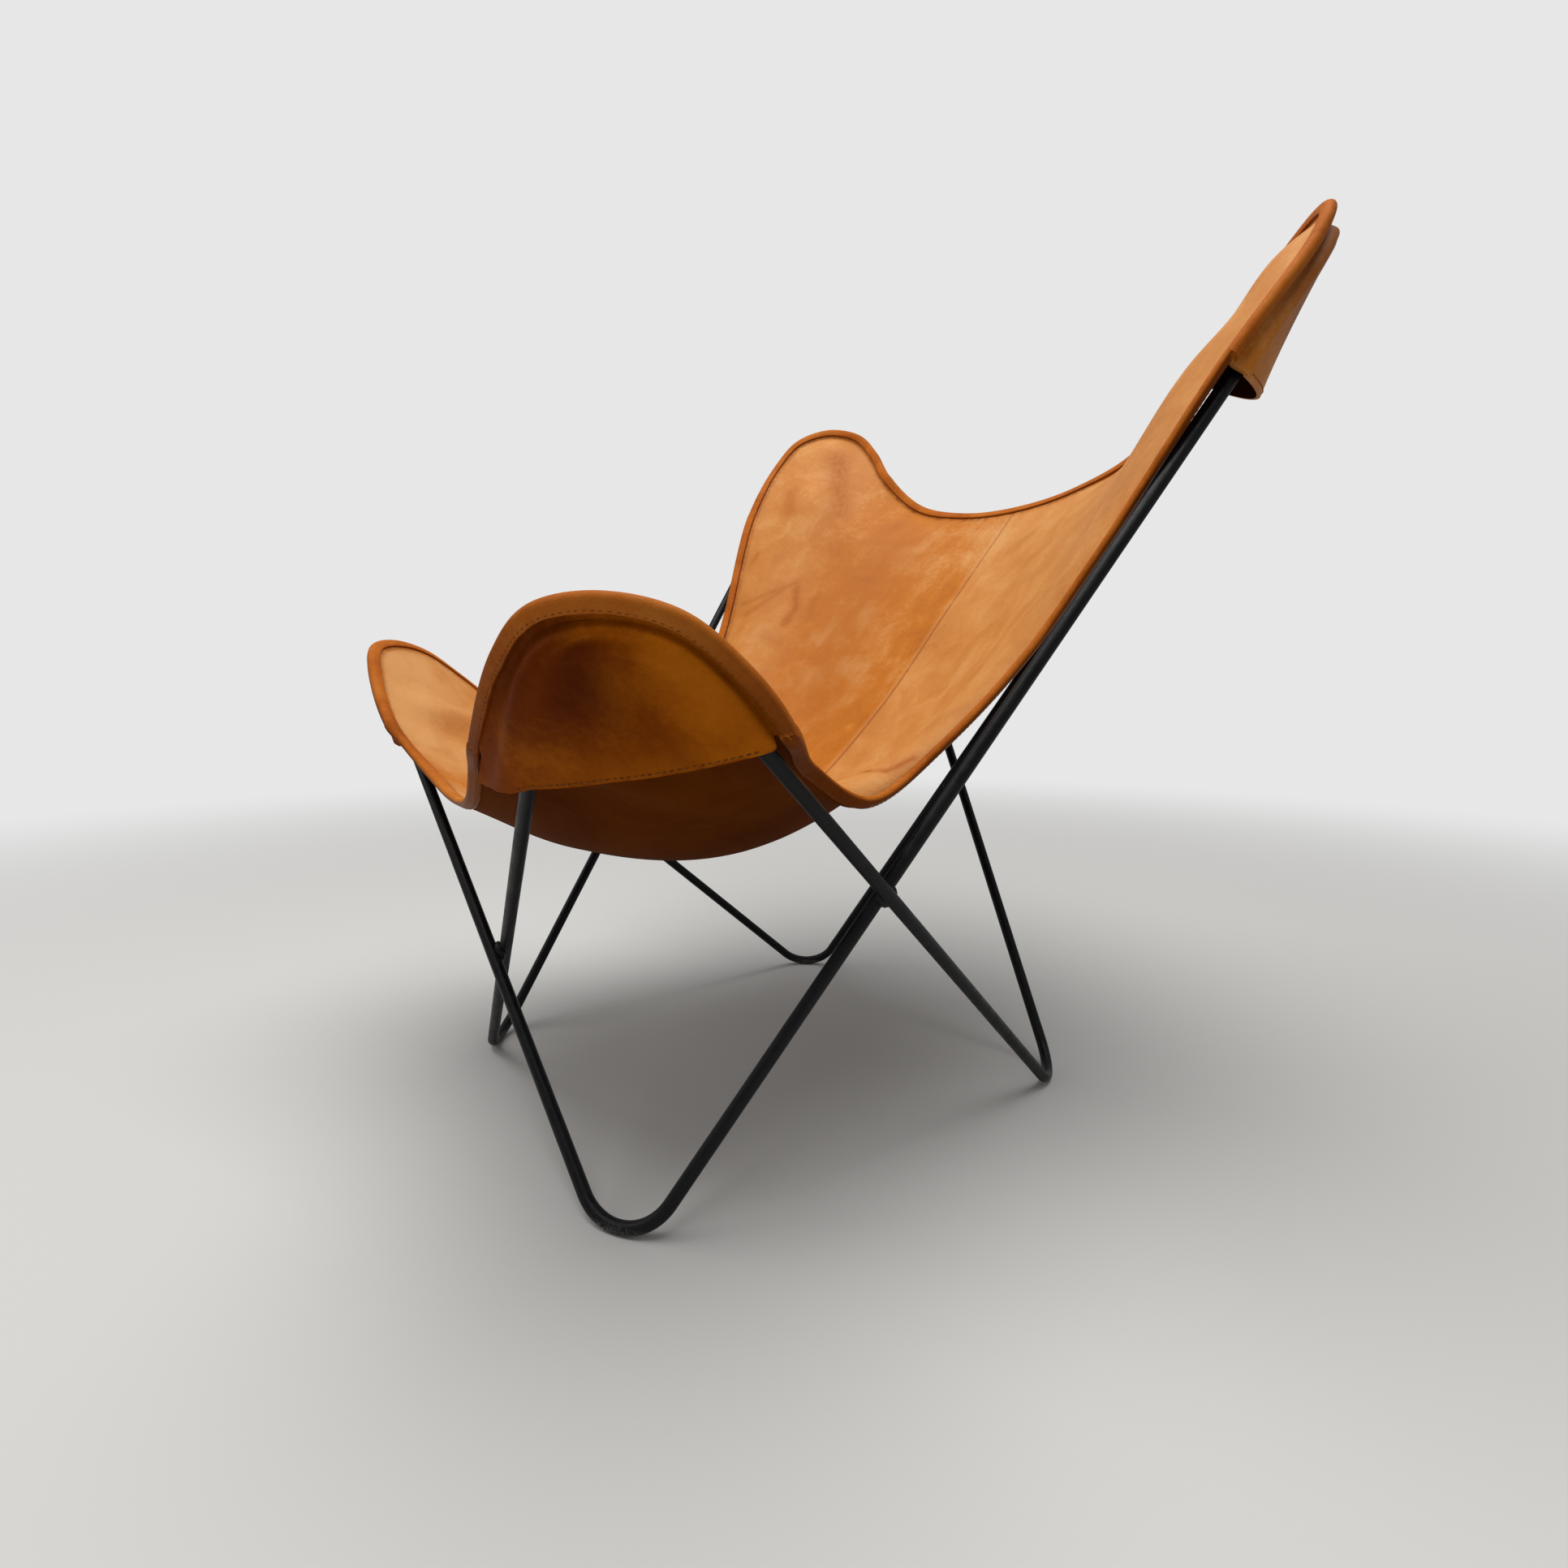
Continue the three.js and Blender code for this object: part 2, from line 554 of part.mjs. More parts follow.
// Pocket of a tip: sewn along the rim, it rises over the rod and runs flat across to the other leg
function pocket(rim, first, tip, keys, sag) {
  const count = 2 * TIP_STEPS;
  const overLine = lineOf(keys, 'over');
  const runs = [[0, APEX_KEY, TIP_STEPS], [APEX_KEY, 2 * APEX_KEY, TIP_STEPS]];
  const over = [...runs.flatMap((run) => evenRun(overLine, run)), 1].map((u) => overLine.getPoint(u));
  const lift = LEATHER_T + SEWN_GAP;
  const fold = (a, b) => {
    const middle = a.clone().add(b).normalize();
    return middle.divideScalar(Math.max(middle.dot(a), FOLD_LIMIT));
  };
  const rise = (k) => {
    const s = rim[first + k];
    const turned = along(s.border, [s.normal, lift], [s.out, -TURN_IN]);
    const wall = unit(turned, over[k]).cross(s.tangent).normalize();
    return [
      [along(s.rim, [s.normal, lift]), s.normal],
      [turned, fold(s.normal, wall)],
      [over[k], fold(wall, tip.outer)],
    ];
  };
  const rows = Array.from({ length: TIP_STEPS + 1 }, (_, j) => {
    const far = count - j;
    const open = 1 - j / TIP_STEPS;
    const face = Array.from({ length: POCKET_STEPS - 1 }, (__, i) => {
      const k = (i + 1) / POCKET_STEPS;
      const swell = sag * 4 * k * (1 - k) * open;
      return [along(mix(over[j], over[far], k), [tip.outer, swell]), tip.outer];
    });
    return [...rise(j), ...face, ...rise(far).reverse()];
  });
  const cols = rows[0].length;
  const cells = rows.flat();
  const quads = [];
  for (let j = 0; j < TIP_STEPS; j += 1) {
    for (let i = 0; i < cols - 1; i += 1) {
      const a = j * cols + i;
      quads.push([a + 1, a + cols + 1, a + cols, a]);
    }
  }
  const up = rows.map((_, j) => j * cols);
  const hem = rows[0].map((_, i) => i);
  const down = rows.map((_, j) => j * cols + cols - 1).reverse();
  const outline = [...up, ...down, ...hem.reverse()];
  return thicken(cells.map((c) => c[0]), cells.map((c) => c[1]), quads, outline);
}

// Binding strip folded over a run of the rim, round one layer of leather or round two at a pocket
function binding(rim, first, last, layers) {
  const low = -LEATHER_T / 2 - SEWN_GAP;
  const high = LEATHER_T / 2 + (layers - 1) * (LEATHER_T + SEWN_GAP) + SEWN_GAP;
  const edge = SEWN_GAP;
  const round = BINDING_T / 2;
  const profile = [
    [-BINDING_LIP, low - BINDING_T],
    [edge + BINDING_T - round, low - BINDING_T],
    [edge + BINDING_T, low - BINDING_T + round],
    [edge + BINDING_T, high + BINDING_T - round],
    [edge + BINDING_T - round, high + BINDING_T],
    [-BINDING_LIP, high + BINDING_T],
    [-BINDING_LIP, high],
    [edge, high],
    [edge, low],
    [-BINDING_LIP, low],
  ];
  const sides = profile.length;
  const points = [];
  for (let k = first; k <= last; k += 1) {
    const s = rim[k];
    const trim = (k === first ? SEWN_GAP / 2 : 0) - (k === last ? SEWN_GAP / 2 : 0);
    const start = along(s.rim, [s.tangent, trim]);
    profile.forEach(([out, up]) => points.push(along(start, [s.out, out], [s.normal, up])));
  }
  const quads = [];
  for (let k = 0; k < last - first; k += 1) {
    for (let i = 0; i < sides; i += 1) {
      const a = k * sides + i;
      const b = k * sides + ((i + 1) % sides);
      const outwards = profile[i][0] < profile[(i + 1) % sides][0];
      quads.push(outwards ? [a, b, b + sides, a + sides] : [b, b + sides, a + sides, a]);
    }
  }
  const end = (last - first) * sides;
  const flat = profile.map(([x, y]) => new THREE.Vector2(x, y));
  THREE.ShapeUtils.triangulateShape(flat, []).forEach((face) => {
    const turnsLeft = THREE.ShapeUtils.area(face.map((i) => flat[i])) > 0;
    const [a, b, c] = turnsLeft ? face : [...face].reverse();
    quads.push([c, b, a, a]);
    quads.push([end + a, end + b, end + c, end + c]);
  });
  return fromQuads(points, quads);
}

// Materials
function finish(color, roughness, metalness) {
  return new THREE.MeshStandardMaterial({ color, roughness, metalness });
}
const BLACK_STEEL = finish(0x141416, 0.45, 0.6);
const WELD_STEEL = finish(0x1b1b1d, 0.55, 0.6);
const TAN_LEATHER = finish(0xb9702f, 0.6, 0);
const BINDING_LEATHER = finish(0x8c4a1e, 0.55, 0);

const chair = new THREE.Group();
function add(name, geometry, material) {
  const mesh = new THREE.Mesh(geometry, material);
  mesh.name = name;
  chair.add(mesh);
}

// Frame
const loops = placeLoops();
add('frame_loop_left', rodLoop(loops.left), BLACK_STEEL);
add('frame_loop_right', rodLoop(loops.right), BLACK_STEEL);
const leg = (loop, from, to) => [loops[loop][from], loops[loop][to]];
const welds = {
  front: [leg('left', 'frontFoot', 'frontTip'), leg('right', 'frontFoot', 'frontTip')],
  back: [leg('left', 'backFoot', 'backTip'), leg('right', 'backFoot', 'backTip')],
  left: [leg('left', 'frontFoot', 'backTip'), leg('right', 'frontTip', 'backFoot')],
  right: [leg('right', 'frontFoot', 'backTip'), leg('left', 'frontTip', 'backFoot')],
};
Object.entries(welds).forEach(([where, legs]) => add(`weld_${where}`, weldBead(...legs), WELD_STEEL));

// Sling: on each side the front tip belongs to the loop of the other side
[['left', 'right', 1], ['right', 'left', -1]].forEach(([name, other, side]) => {
  const own = loops[name];
  const across = loops[other];
  const frontTip = makeTip(across.frontTip, across.frontFoot, across.backFoot, FRONT_TIP.bend);
  const backTip = makeTip(own.backTip, own.backFoot, own.frontFoot, BACK_TIP.bend);
  const rim = makeRim(frontTip, backTip);
  const grid = makeSurface(rim, [frontTip, backTip]);
  const frontFirst = FREE_STEPS;
  const frontLast = frontFirst + 2 * TIP_STEPS;
  const backFirst = frontLast + SIDE_STEPS;
  const backLast = backFirst + 2 * TIP_STEPS;
  const place = (part, geometry, material) => add(part, toSide(geometry, side), material);
  place(`sling_panel_${name}`, slingPanel(rim, grid), TAN_LEATHER);
  const frontKeys = tipKeys(frontTip, FRONT_RIM);
  const backKeys = tipKeys(backTip, BACK_RIM).reverse();
  const frontPocket = pocket(rim, frontFirst, frontTip, frontKeys, FRONT_SWELL);
  const backPocket = pocket(rim, backFirst, backTip, backKeys, BACK_SWELL);
  place(`pocket_front_${name}`, frontPocket, TAN_LEATHER);
  place(`pocket_back_${name}`, backPocket, TAN_LEATHER);
  place(`binding_front_tip_${name}`, binding(rim, frontFirst, frontLast, 2), BINDING_LEATHER);
  place(`binding_back_tip_${name}`, binding(rim, backFirst, backLast, 2), BINDING_LEATHER);
  place(`binding_front_edge_${name}`, binding(rim, 0, frontFirst, 1), BINDING_LEATHER);
  place(`binding_side_edge_${name}`, binding(rim, frontLast, backFirst, 1), BINDING_LEATHER);
  place(`binding_back_edge_${name}`, binding(rim, backLast, rim.length - 1, 1), BINDING_LEATHER);
});

// The origin is the middle of the chair's footprint, on the floor
const box = new THREE.Box3().setFromObject(chair);
const centre = box.getCenter(vec(0, 0, 0));
chair.children.forEach((mesh) => mesh.geometry.translate(-centre.x, -centre.y, -box.min.z));

export default chair;
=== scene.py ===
"""Looks of a butterfly sling chair: a leather sling with bound edges, hung by its corner pockets on two rod loops.

Sizes are in millimetres in the maker's drawing, whose y starts at the front feet. Meshes are made in metres in
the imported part's frame, which lies a plain shift along y away.
"""

import logging
import math
from dataclasses import dataclass, field
from enum import Enum
from typing import Any

import bmesh
import bpy
import numpy as np
from mathutils import Matrix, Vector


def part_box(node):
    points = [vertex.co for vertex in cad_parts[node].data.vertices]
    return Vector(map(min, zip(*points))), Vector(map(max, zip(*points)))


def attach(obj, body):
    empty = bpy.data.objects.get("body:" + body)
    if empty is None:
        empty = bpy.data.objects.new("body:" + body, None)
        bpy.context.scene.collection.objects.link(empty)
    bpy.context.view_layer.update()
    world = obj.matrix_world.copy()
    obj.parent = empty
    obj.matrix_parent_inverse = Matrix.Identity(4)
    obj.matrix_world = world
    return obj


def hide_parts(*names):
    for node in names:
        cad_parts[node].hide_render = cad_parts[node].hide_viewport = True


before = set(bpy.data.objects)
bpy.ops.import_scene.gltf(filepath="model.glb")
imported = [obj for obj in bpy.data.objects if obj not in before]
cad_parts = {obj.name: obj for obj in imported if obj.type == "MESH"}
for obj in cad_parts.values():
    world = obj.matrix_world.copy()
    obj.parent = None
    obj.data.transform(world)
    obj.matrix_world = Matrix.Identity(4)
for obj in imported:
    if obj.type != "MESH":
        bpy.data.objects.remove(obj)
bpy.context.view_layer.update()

log = logging.getLogger("sling_chair")

Array = np.ndarray
Colour = tuple[float, float, float]
Place = tuple[float, float, float]
Span = tuple[float, float]
MM = 0.001
MIRROR = np.array([-1.0, 1.0, 1.0])
UP = np.array([0.0, 0.0, 1.0])
CURVE_SAMPLES = 400
MERGE = 2e-6


class Side(Enum):
    """The sitter's two sides, with the sign of x on each."""

    LEFT = 1
    RIGHT = -1

    @property
    def word(self) -> str:
        """The side's name in node names."""
        return self.name.lower()

    @property
    def other(self) -> "Side":
        """The opposite side."""
        return Side(-self.value)

    def pick(self, left: Any, right: Any) -> Any:
        """The value that belongs to this side."""
        return left if self is Side.LEFT else right


class Slot(Enum):
    """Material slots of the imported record."""

    FRAME = "frame_paint"
    SLING = "sling_leather"
    POCKET = "pocket_leather"
    BINDING = "binding_leather"


def unit(v: Array) -> Array:
    """Vectors along the last axis, scaled to length one."""
    return v / np.linalg.norm(v, axis=-1, keepdims=True)


def dot(a: Array, b: Array) -> Array:
    """Scalar products along the last axis, which is kept."""
    return (a * b).sum(-1, keepdims=True)


def hump(x: Array, centre: float, width: float) -> Array:
    """A smooth hump of height one: exp(-((x - centre) / width)^2)."""
    return np.exp(-(((x - centre) / width) ** 2))


def ease(x: Array, low: float, high: float) -> Array:
    """A smooth step from 0 at low to 1 at high: s^2 (3 - 2 s)."""
    s = np.clip((x - low) / (high - low), 0, 1)
    return s * s * (3 - 2 * s)


def ripple(x: Array, seed: int, shortest: float, longest: float, terms: int = 7) -> Array:
    """A wandering line of about unit height: a sum of sines with seeded lengths and starts.

    Args:
        x: Places along the line.
        seed: Seed of the lengths and starts.
        shortest: Shortest wave, in the unit of x.
        longest: Longest wave, in the unit of x.
        terms: Number of sines.

    Returns:
        One value for each place.
    """
    uneven, level = 0.15, 1.6
    rng = np.random.default_rng(seed)
    waves = np.geomspace(shortest, longest, terms) * rng.uniform(1 - uneven, 1 + uneven, terms)
    starts = rng.uniform(0, 2 * math.pi, terms)
    heights = (waves / longest) ** 0.5
    return (np.sin(2 * math.pi * x[..., None] / waves + starts) * heights).sum(-1) / heights.sum() * level


def lengths(points: Array) -> Array:
    """Distances along a line of points: 0 at the first, then the sum of the chords so far."""
    return np.concatenate([[0], np.cumsum(np.linalg.norm(np.diff(points, axis=0), axis=1))])


def read_off(at: Array, places: Array, rows: Array) -> Array:
    """Vectors at some places of a line, by straight lines between the rows known at rising places."""
    return np.stack([np.interp(at, places, rows[:, k]) for k in range(3)], -1)


def centripetal(points: Array, u: Array) -> Array:
    """Smooth curve through points: a Catmull-Rom curve whose knots are spaced by the root of the chord.

    Args:
        points: Points to pass, (n, 3).
        u: Places along the curve, from 0 at the first point to 1 at the last.

    Returns:
        Points of the curve, (len(u), 3).
    """
    ends = 2 * points[[0, -1]] - points[[1, -2]]
    knots = np.vstack([ends[:1], points, ends[1:]])
    place = np.clip(u, 0, 1) * (len(points) - 1)
    first = np.minimum(place.astype(int), len(points) - 2)
    s = (place - first)[:, None]
    p0, p1, p2, p3 = (knots[first + k] for k in range(4))
    d0, d1, d2 = (np.sqrt(np.linalg.norm(b - a, axis=1, keepdims=True)) for a, b in ((p0, p1), (p1, p2), (p2, p3)))
    t1 = ((p1 - p0) / d0 - (p2 - p0) / (d0 + d1) + (p2 - p1) / d1) * d1
    t2 = ((p2 - p1) / d1 - (p3 - p1) / (d1 + d2) + (p3 - p2) / d2) * d1
    c2 = -3 * p1 + 3 * p2 - 2 * t1 - t2
    c3 = 2 * p1 - 2 * p2 + t1 + t2
    return p1 + s * (t1 + s * (c2 + s * c3))


def even_places(points: Array, first: int, last: int, shares: Array) -> Array:
    """Curve places at given shares of the length between two of the points of a centripetal curve.

    Args:
        points: Points that the curve passes.
        first: Index of the point where the run starts.
        last: Index of the point where it ends.
        shares: Shares of the run's length, from 0 to 1.

    Returns:
        Places for centripetal().
    """
    u = np.linspace(first, last, CURVE_SAMPLES) / (len(points) - 1)
    length = lengths(centripetal(points, u))
    return np.interp(shares * length[-1], length, u)


def spline_weights(knots: int, places: Array) -> Array:
    """Weights of a natural cubic spline: values at places are the weights times the values at the knots.

    Args:
        knots: Number of knots, which lie at 0, 1, 2 and on.
        places: Places to work out, from 0 to knots - 1.

    Returns:
        Matrix of (len(places), knots).
    """
    inner = np.arange(1, knots - 1)
    left = np.eye(knots)
    right = np.zeros((knots, knots))
    left[inner, inner - 1] = left[inner, inner + 1] = 1
    left[inner, inner] = 4
    right[inner, inner - 1] = right[inner, inner + 1] = 6
    right[inner, inner] = -12
    curve = np.linalg.solve(left, right)
    k = np.minimum(places.astype(int), knots - 2)
    s = (places - k)[:, None]
    eye = np.eye(knots)
    bend = ((1 - s) ** 3 - (1 - s)) / 6 * curve[k] + (s**3 - s) / 6 * curve[k + 1]
    return (1 - s) * eye[k] + s * eye[k + 1] + bend


def surface_normals(grid: Array) -> Array:
    """Unit normals of a grid of points, along the rows' direction crossed with the columns'."""
    return unit(np.cross(np.gradient(grid, axis=0), np.gradient(grid, axis=1)))


@dataclass
class Shape:
    """Points, faces, finish numbers and named values of a mesh in the making."""

    points: Array
    faces: Array
    finish: Array
    marks: dict[str, Array] = field(default_factory=dict)

    @classmethod
    def sheet(
        cls, grid: Array, finish: int = 0, flip: bool = False, ring: bool = False, loop: bool = False, **marks: Any
    ) -> "Shape":
        """Quads over a grid of points.

        Args:
            grid: Points, (rows, columns, 3).
            finish: Number of the finish on the piece.
            flip: True to turn the faces round.
            ring: True to join the last column to the first.
            loop: True to join the last row to the first.
            marks: Named values, one number or one for each point.

        Returns:
            The sheet.
        """
        rows, cols = grid.shape[:2]
        index = np.arange(rows * cols).reshape(rows, cols)
        index = np.vstack([index, index[:1]]) if loop else index
        index = np.hstack([index, index[:, :1]]) if ring else index
        quads = np.stack([index[:-1, :-1], index[1:, :-1], index[1:, 1:], index[:-1, 1:]], -1).reshape(-1, 4)
        values = {k: np.broadcast_to(v, (rows, cols)).reshape(-1).astype(float) for k, v in marks.items()}
        return cls(grid.reshape(-1, 3), quads[:, ::-1] if flip else quads, np.full(len(quads), finish), values)

    @classmethod
    def joined(cls, shapes: list["Shape"]) -> "Shape":
        """Several shapes as one; a value that a shape lacks is 0 there."""
        starts = np.cumsum([0] + [len(s.points) for s in shapes[:-1]])
        names = {name for s in shapes for name in s.marks}
        blank = [np.zeros(len(s.points)) for s in shapes]
        return cls(
            np.vstack([s.points for s in shapes]),
            np.vstack([s.faces + start for s, start in zip(shapes, starts)]),
            np.concatenate([s.finish for s in shapes]),
            {n: np.concatenate([s.marks.get(n, b) for s, b in zip(shapes, blank)]) for n in sorted(names)},
        )

    def on(self, side: Side) -> "Shape":
        """The shape itself on the left, or its mirror image on the right."""
        if side is Side.LEFT:
            return self
        return Shape(self.points * MIRROR, self.faces[:, ::-1], self.finish, self.marks)

    @property
    def volume(self) -> float:
        """Enclosed volume in cubic millimetres, negative where the faces point in."""
        a, b, c, d = (self.points[self.faces[:, k]] for k in range(4))
        return float((dot(a, np.cross(b, c)) + dot(a, np.cross(c, d))).sum() / 6)


def placed(name: str, data: Any) -> bpy.types.Object:
    """A new object of the scene, at the origin."""
    obj = bpy.data.objects.new(name, data)
    bpy.context.scene.collection.objects.link(obj)
    return obj


@dataclass
class Bench:
    """Where shapes become pieces of the scene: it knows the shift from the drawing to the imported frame."""

    shift: Array

    def piece(
        self,
        name: str,
        shape: Shape,
        materials: list[bpy.types.Material],
        stands_for: tuple[str, ...] = (),
        crease: float = 50.0,
    ) -> bpy.types.Object:
        """Makes a mesh object that rides on the chair.

        Args:
            name: Name of the piece.
            shape: Its points and faces, in the drawing.
            materials: Finishes, in the order of the shape's numbers.
            stands_for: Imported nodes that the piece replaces.
            crease: Angle in degrees above which an edge stays sharp.

        Returns:
            The new object.
        """
        faces = shape.faces if shape.volume >= 0 else shape.faces[:, ::-1]
        mesh = bpy.data.meshes.new(name)
        mesh.from_pydata(((shape.points + self.shift) * MM).tolist(), [], faces.tolist())
        mesh.polygons.foreach_set("material_index", shape.finish.astype(np.int32))
        for key, values in shape.marks.items():
            mesh.attributes.new(key, "FLOAT", "POINT").data.foreach_set("value", values.astype(np.float32))
        for material in materials:
            mesh.materials.append(material)
        solid = bmesh.new()
        solid.from_mesh(mesh)
        bmesh.ops.remove_doubles(solid, verts=solid.verts, dist=MERGE)
        solid.to_mesh(mesh)
        solid.free()
        mesh.shade_smooth()
        mesh.set_sharp_from_angle(angle=math.radians(crease))
        obj = placed(name, mesh)
        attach(obj, "root")
        if stands_for:
            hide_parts(*stands_for)
        log.info("%s: %d faces", name, len(mesh.polygons))
        return obj


class Wire:
    """A shader socket that Python operators join into Math nodes."""

    def __init__(self, tree: "Finish", socket: bpy.types.NodeSocket) -> None:
        """Keeps the tree and the output socket."""
        self.tree = tree
        self.socket = socket

    def math(self, operation: str, *operands: Any) -> "Wire":
        """A Math node on the given operands."""
        return self.tree.node("ShaderNodeMath", {"operation": operation}, dict(enumerate(operands)))

    def __add__(self, other: Any) -> "Wire":
        """Sum."""
        return self.math("ADD", self, other)

    __radd__ = __add__

    def __sub__(self, other: Any) -> "Wire":
        """Difference."""
        return self.math("SUBTRACT", self, other)

    def __rsub__(self, other: Any) -> "Wire":
        """Difference from a number."""
        return self.math("SUBTRACT", other, self)

    def __mul__(self, other: Any) -> "Wire":
        """Product."""
        return self.math("MULTIPLY", self, other)

    __rmul__ = __mul__

    def step(self, low: float, high: float) -> "Wire":
        """A smooth step from 0 at low to 1 at high."""
        settings = {"interpolation_type": "SMOOTHSTEP"}
        return self.tree.node("ShaderNodeMapRange", settings, {"Value": self, "From Min": low, "From Max": high})


class Finish:
    """A material under way: its node tree, with short ways to the textures that finishes use."""

    def __init__(self, name: str) -> None:
        """Starts a material with one Principled shader."""
        self.material = bpy.data.materials.new(name)
        self.material.use_nodes = True
        self.nodes = self.material.node_tree.nodes
        self.shader = self.nodes["Principled BSDF"]
        self.place = self.node("ShaderNodeTexCoord", {}, {}, "Object")

    def node(self, kind: str, settings: dict[str, Any], sockets: dict[Any, Any], output: Any = 0) -> Wire:
        """Adds a node, sets its settings and then its sockets.

        Args:
            kind: Node type.
            settings: Properties of the node; "stops" gives a ramp's (position, colour) pairs.
            sockets: Values or wires, by socket name or number.
            output: Name or number of the output wanted.

        Returns:
            The output's wire.
        """
        node = self.nodes.new(kind)
        for key, value in settings.items():
            if key == "stops":
                ramp = node.color_ramp.elements
                while len(ramp) < len(value):
                    ramp.new(0.5)
                for element, (position, colour) in zip(ramp, value):
                    element.position = position
                    element.color = (*colour, 1.0)
            else:
                setattr(node, key, value)
        for key, value in sockets.items():
            self.feed(node.inputs[key], value)
        return Wire(self, node.outputs[output])

    def feed(self, socket: bpy.types.NodeSocket, value: Any) -> None:
        """Links a wire to a socket, or sets the socket's value."""
        if isinstance(value, Wire):
            self.material.node_tree.links.new(value.socket, socket)
        elif isinstance(value, tuple) and len(value) == 3 and socket.type == "RGBA":
            socket.default_value = (*value, 1.0)
        else:
            socket.default_value = value

    def set(self, **sockets: Any) -> None:
        """Feeds the Principled shader; an underscore stands for a space in a socket's name."""
        for key, value in sockets.items():
            self.feed(self.shader.inputs[key.replace("_", " ")], value)

    def noise(self, scale: float, detail: float = 4, rough: float = 0.55, twist: float = 0, at: Any = None) -> Wire:
        """Cloudy noise about 0.5; scale is waves to the metre."""
        shape = {"Scale": scale, "Detail": detail, "Roughness": rough, "Distortion": twist}
        return self.node("ShaderNodeTexNoise", {}, {"Vector": at or self.place, **shape})

    def cells(self, scale: float, at: Wire) -> Wire:
        """Distance to the nearest cell centre of a random cell pattern."""
        return self.node("ShaderNodeTexVoronoi", {}, {"Vector": at, "Scale": scale})

    def stretched(self, x: float, y: float, z: float) -> Wire:
        """Object coordinates scaled along each axis, for streaks."""
        return self.node("ShaderNodeMapping", {}, {"Vector": self.place, "Scale": (x, y, z)})

    def mark(self, name: str) -> Wire:
        """A named value of the mesh."""
        return self.node("ShaderNodeAttribute", {"attribute_name": name}, {}, "Fac")

    def ramp(self, value: Any, *stops: tuple[float, Colour]) -> Wire:
        """Colour ramp."""
        return self.node("ShaderNodeValToRGB", {"stops": stops}, {"Fac": value})

    def mix(self, share: Any, a: Any, b: Any) -> Wire:
        """Blend of two colours."""
        return self.node("ShaderNodeMix", {"data_type": "RGBA"}, {0: share, 6: a, 7: b}, 2)

    def bump(self, height: Any) -> Wire:
        """Normal from a height in metres."""
        return self.node("ShaderNodeBump", {}, {"Height": height, "Distance": 1.0, "Strength": 1.0})


@dataclass(frozen=True)
class BlackPaint:
    """Satin black paint on steel rod: dusty on top, chipped here and there and rubbed to steel at the feet.

    The numbers in its recipe are noise scales in waves to the metre, limits of steps, and shares of 1.
    """

    paint: Colour = (0.003, 0.0031, 0.0036)
    dust: Colour = (0.016, 0.0157, 0.015)
    steel: Colour = (0.16, 0.155, 0.15)
    cloudy: float = 1.7
    rough: float = 0.36
    shine: float = 0.19
    foot_wear: float = 0.012

    def material(self, name: str) -> bpy.types.Material:
        """Builds the paint: clouds of grime, dust where the face points up, bare steel, and orange peel."""
        f = Finish(name)
        z = f.node("ShaderNodeSeparateXYZ", {}, {0: f.place}, "Z")
        up = f.node("ShaderNodeSeparateXYZ", {}, {0: f.node("ShaderNodeNewGeometry", {}, {}, "Normal")}, "Z")
        grime = f.noise(60, 5, 0.65)
        scuff = f.noise(900, 3, 0.6, at=f.stretched(1, 1, 0.25))
        dust = up.step(0.1, 1.0) * grime.step(0.42, 0.72) * 0.35
        worn = (1 - z.step(0.002, self.foot_wear)) * f.noise(420, 4, 0.7).step(0.42, 0.62)
        chips = f.noise(190, 2, 0.5).step(0.735, 0.76) * f.noise(17, 2).step(0.5, 0.6)
        bare = worn.math("MAXIMUM", worn, chips)
        colour = f.mix(grime.step(0.3, 0.75), self.paint, tuple(self.cloudy * c for c in self.paint))
        f.set(Base_Color=f.mix(bare, f.mix(dust, colour, self.dust), self.steel))
        f.set(Roughness=self.rough + 0.16 * grime.step(0.35, 0.7) + 0.1 * scuff.step(0.5, 0.8) + 0.12 * bare)
        f.set(Metallic=bare * 0.7, Specular_IOR_Level=self.shine)
        peel = f.noise(520, 3, 0.5) * 0.00007 + f.noise(90, 2) * 0.00025 - chips * 0.0001
        f.set(Normal=f.bump(peel))
        return f.material


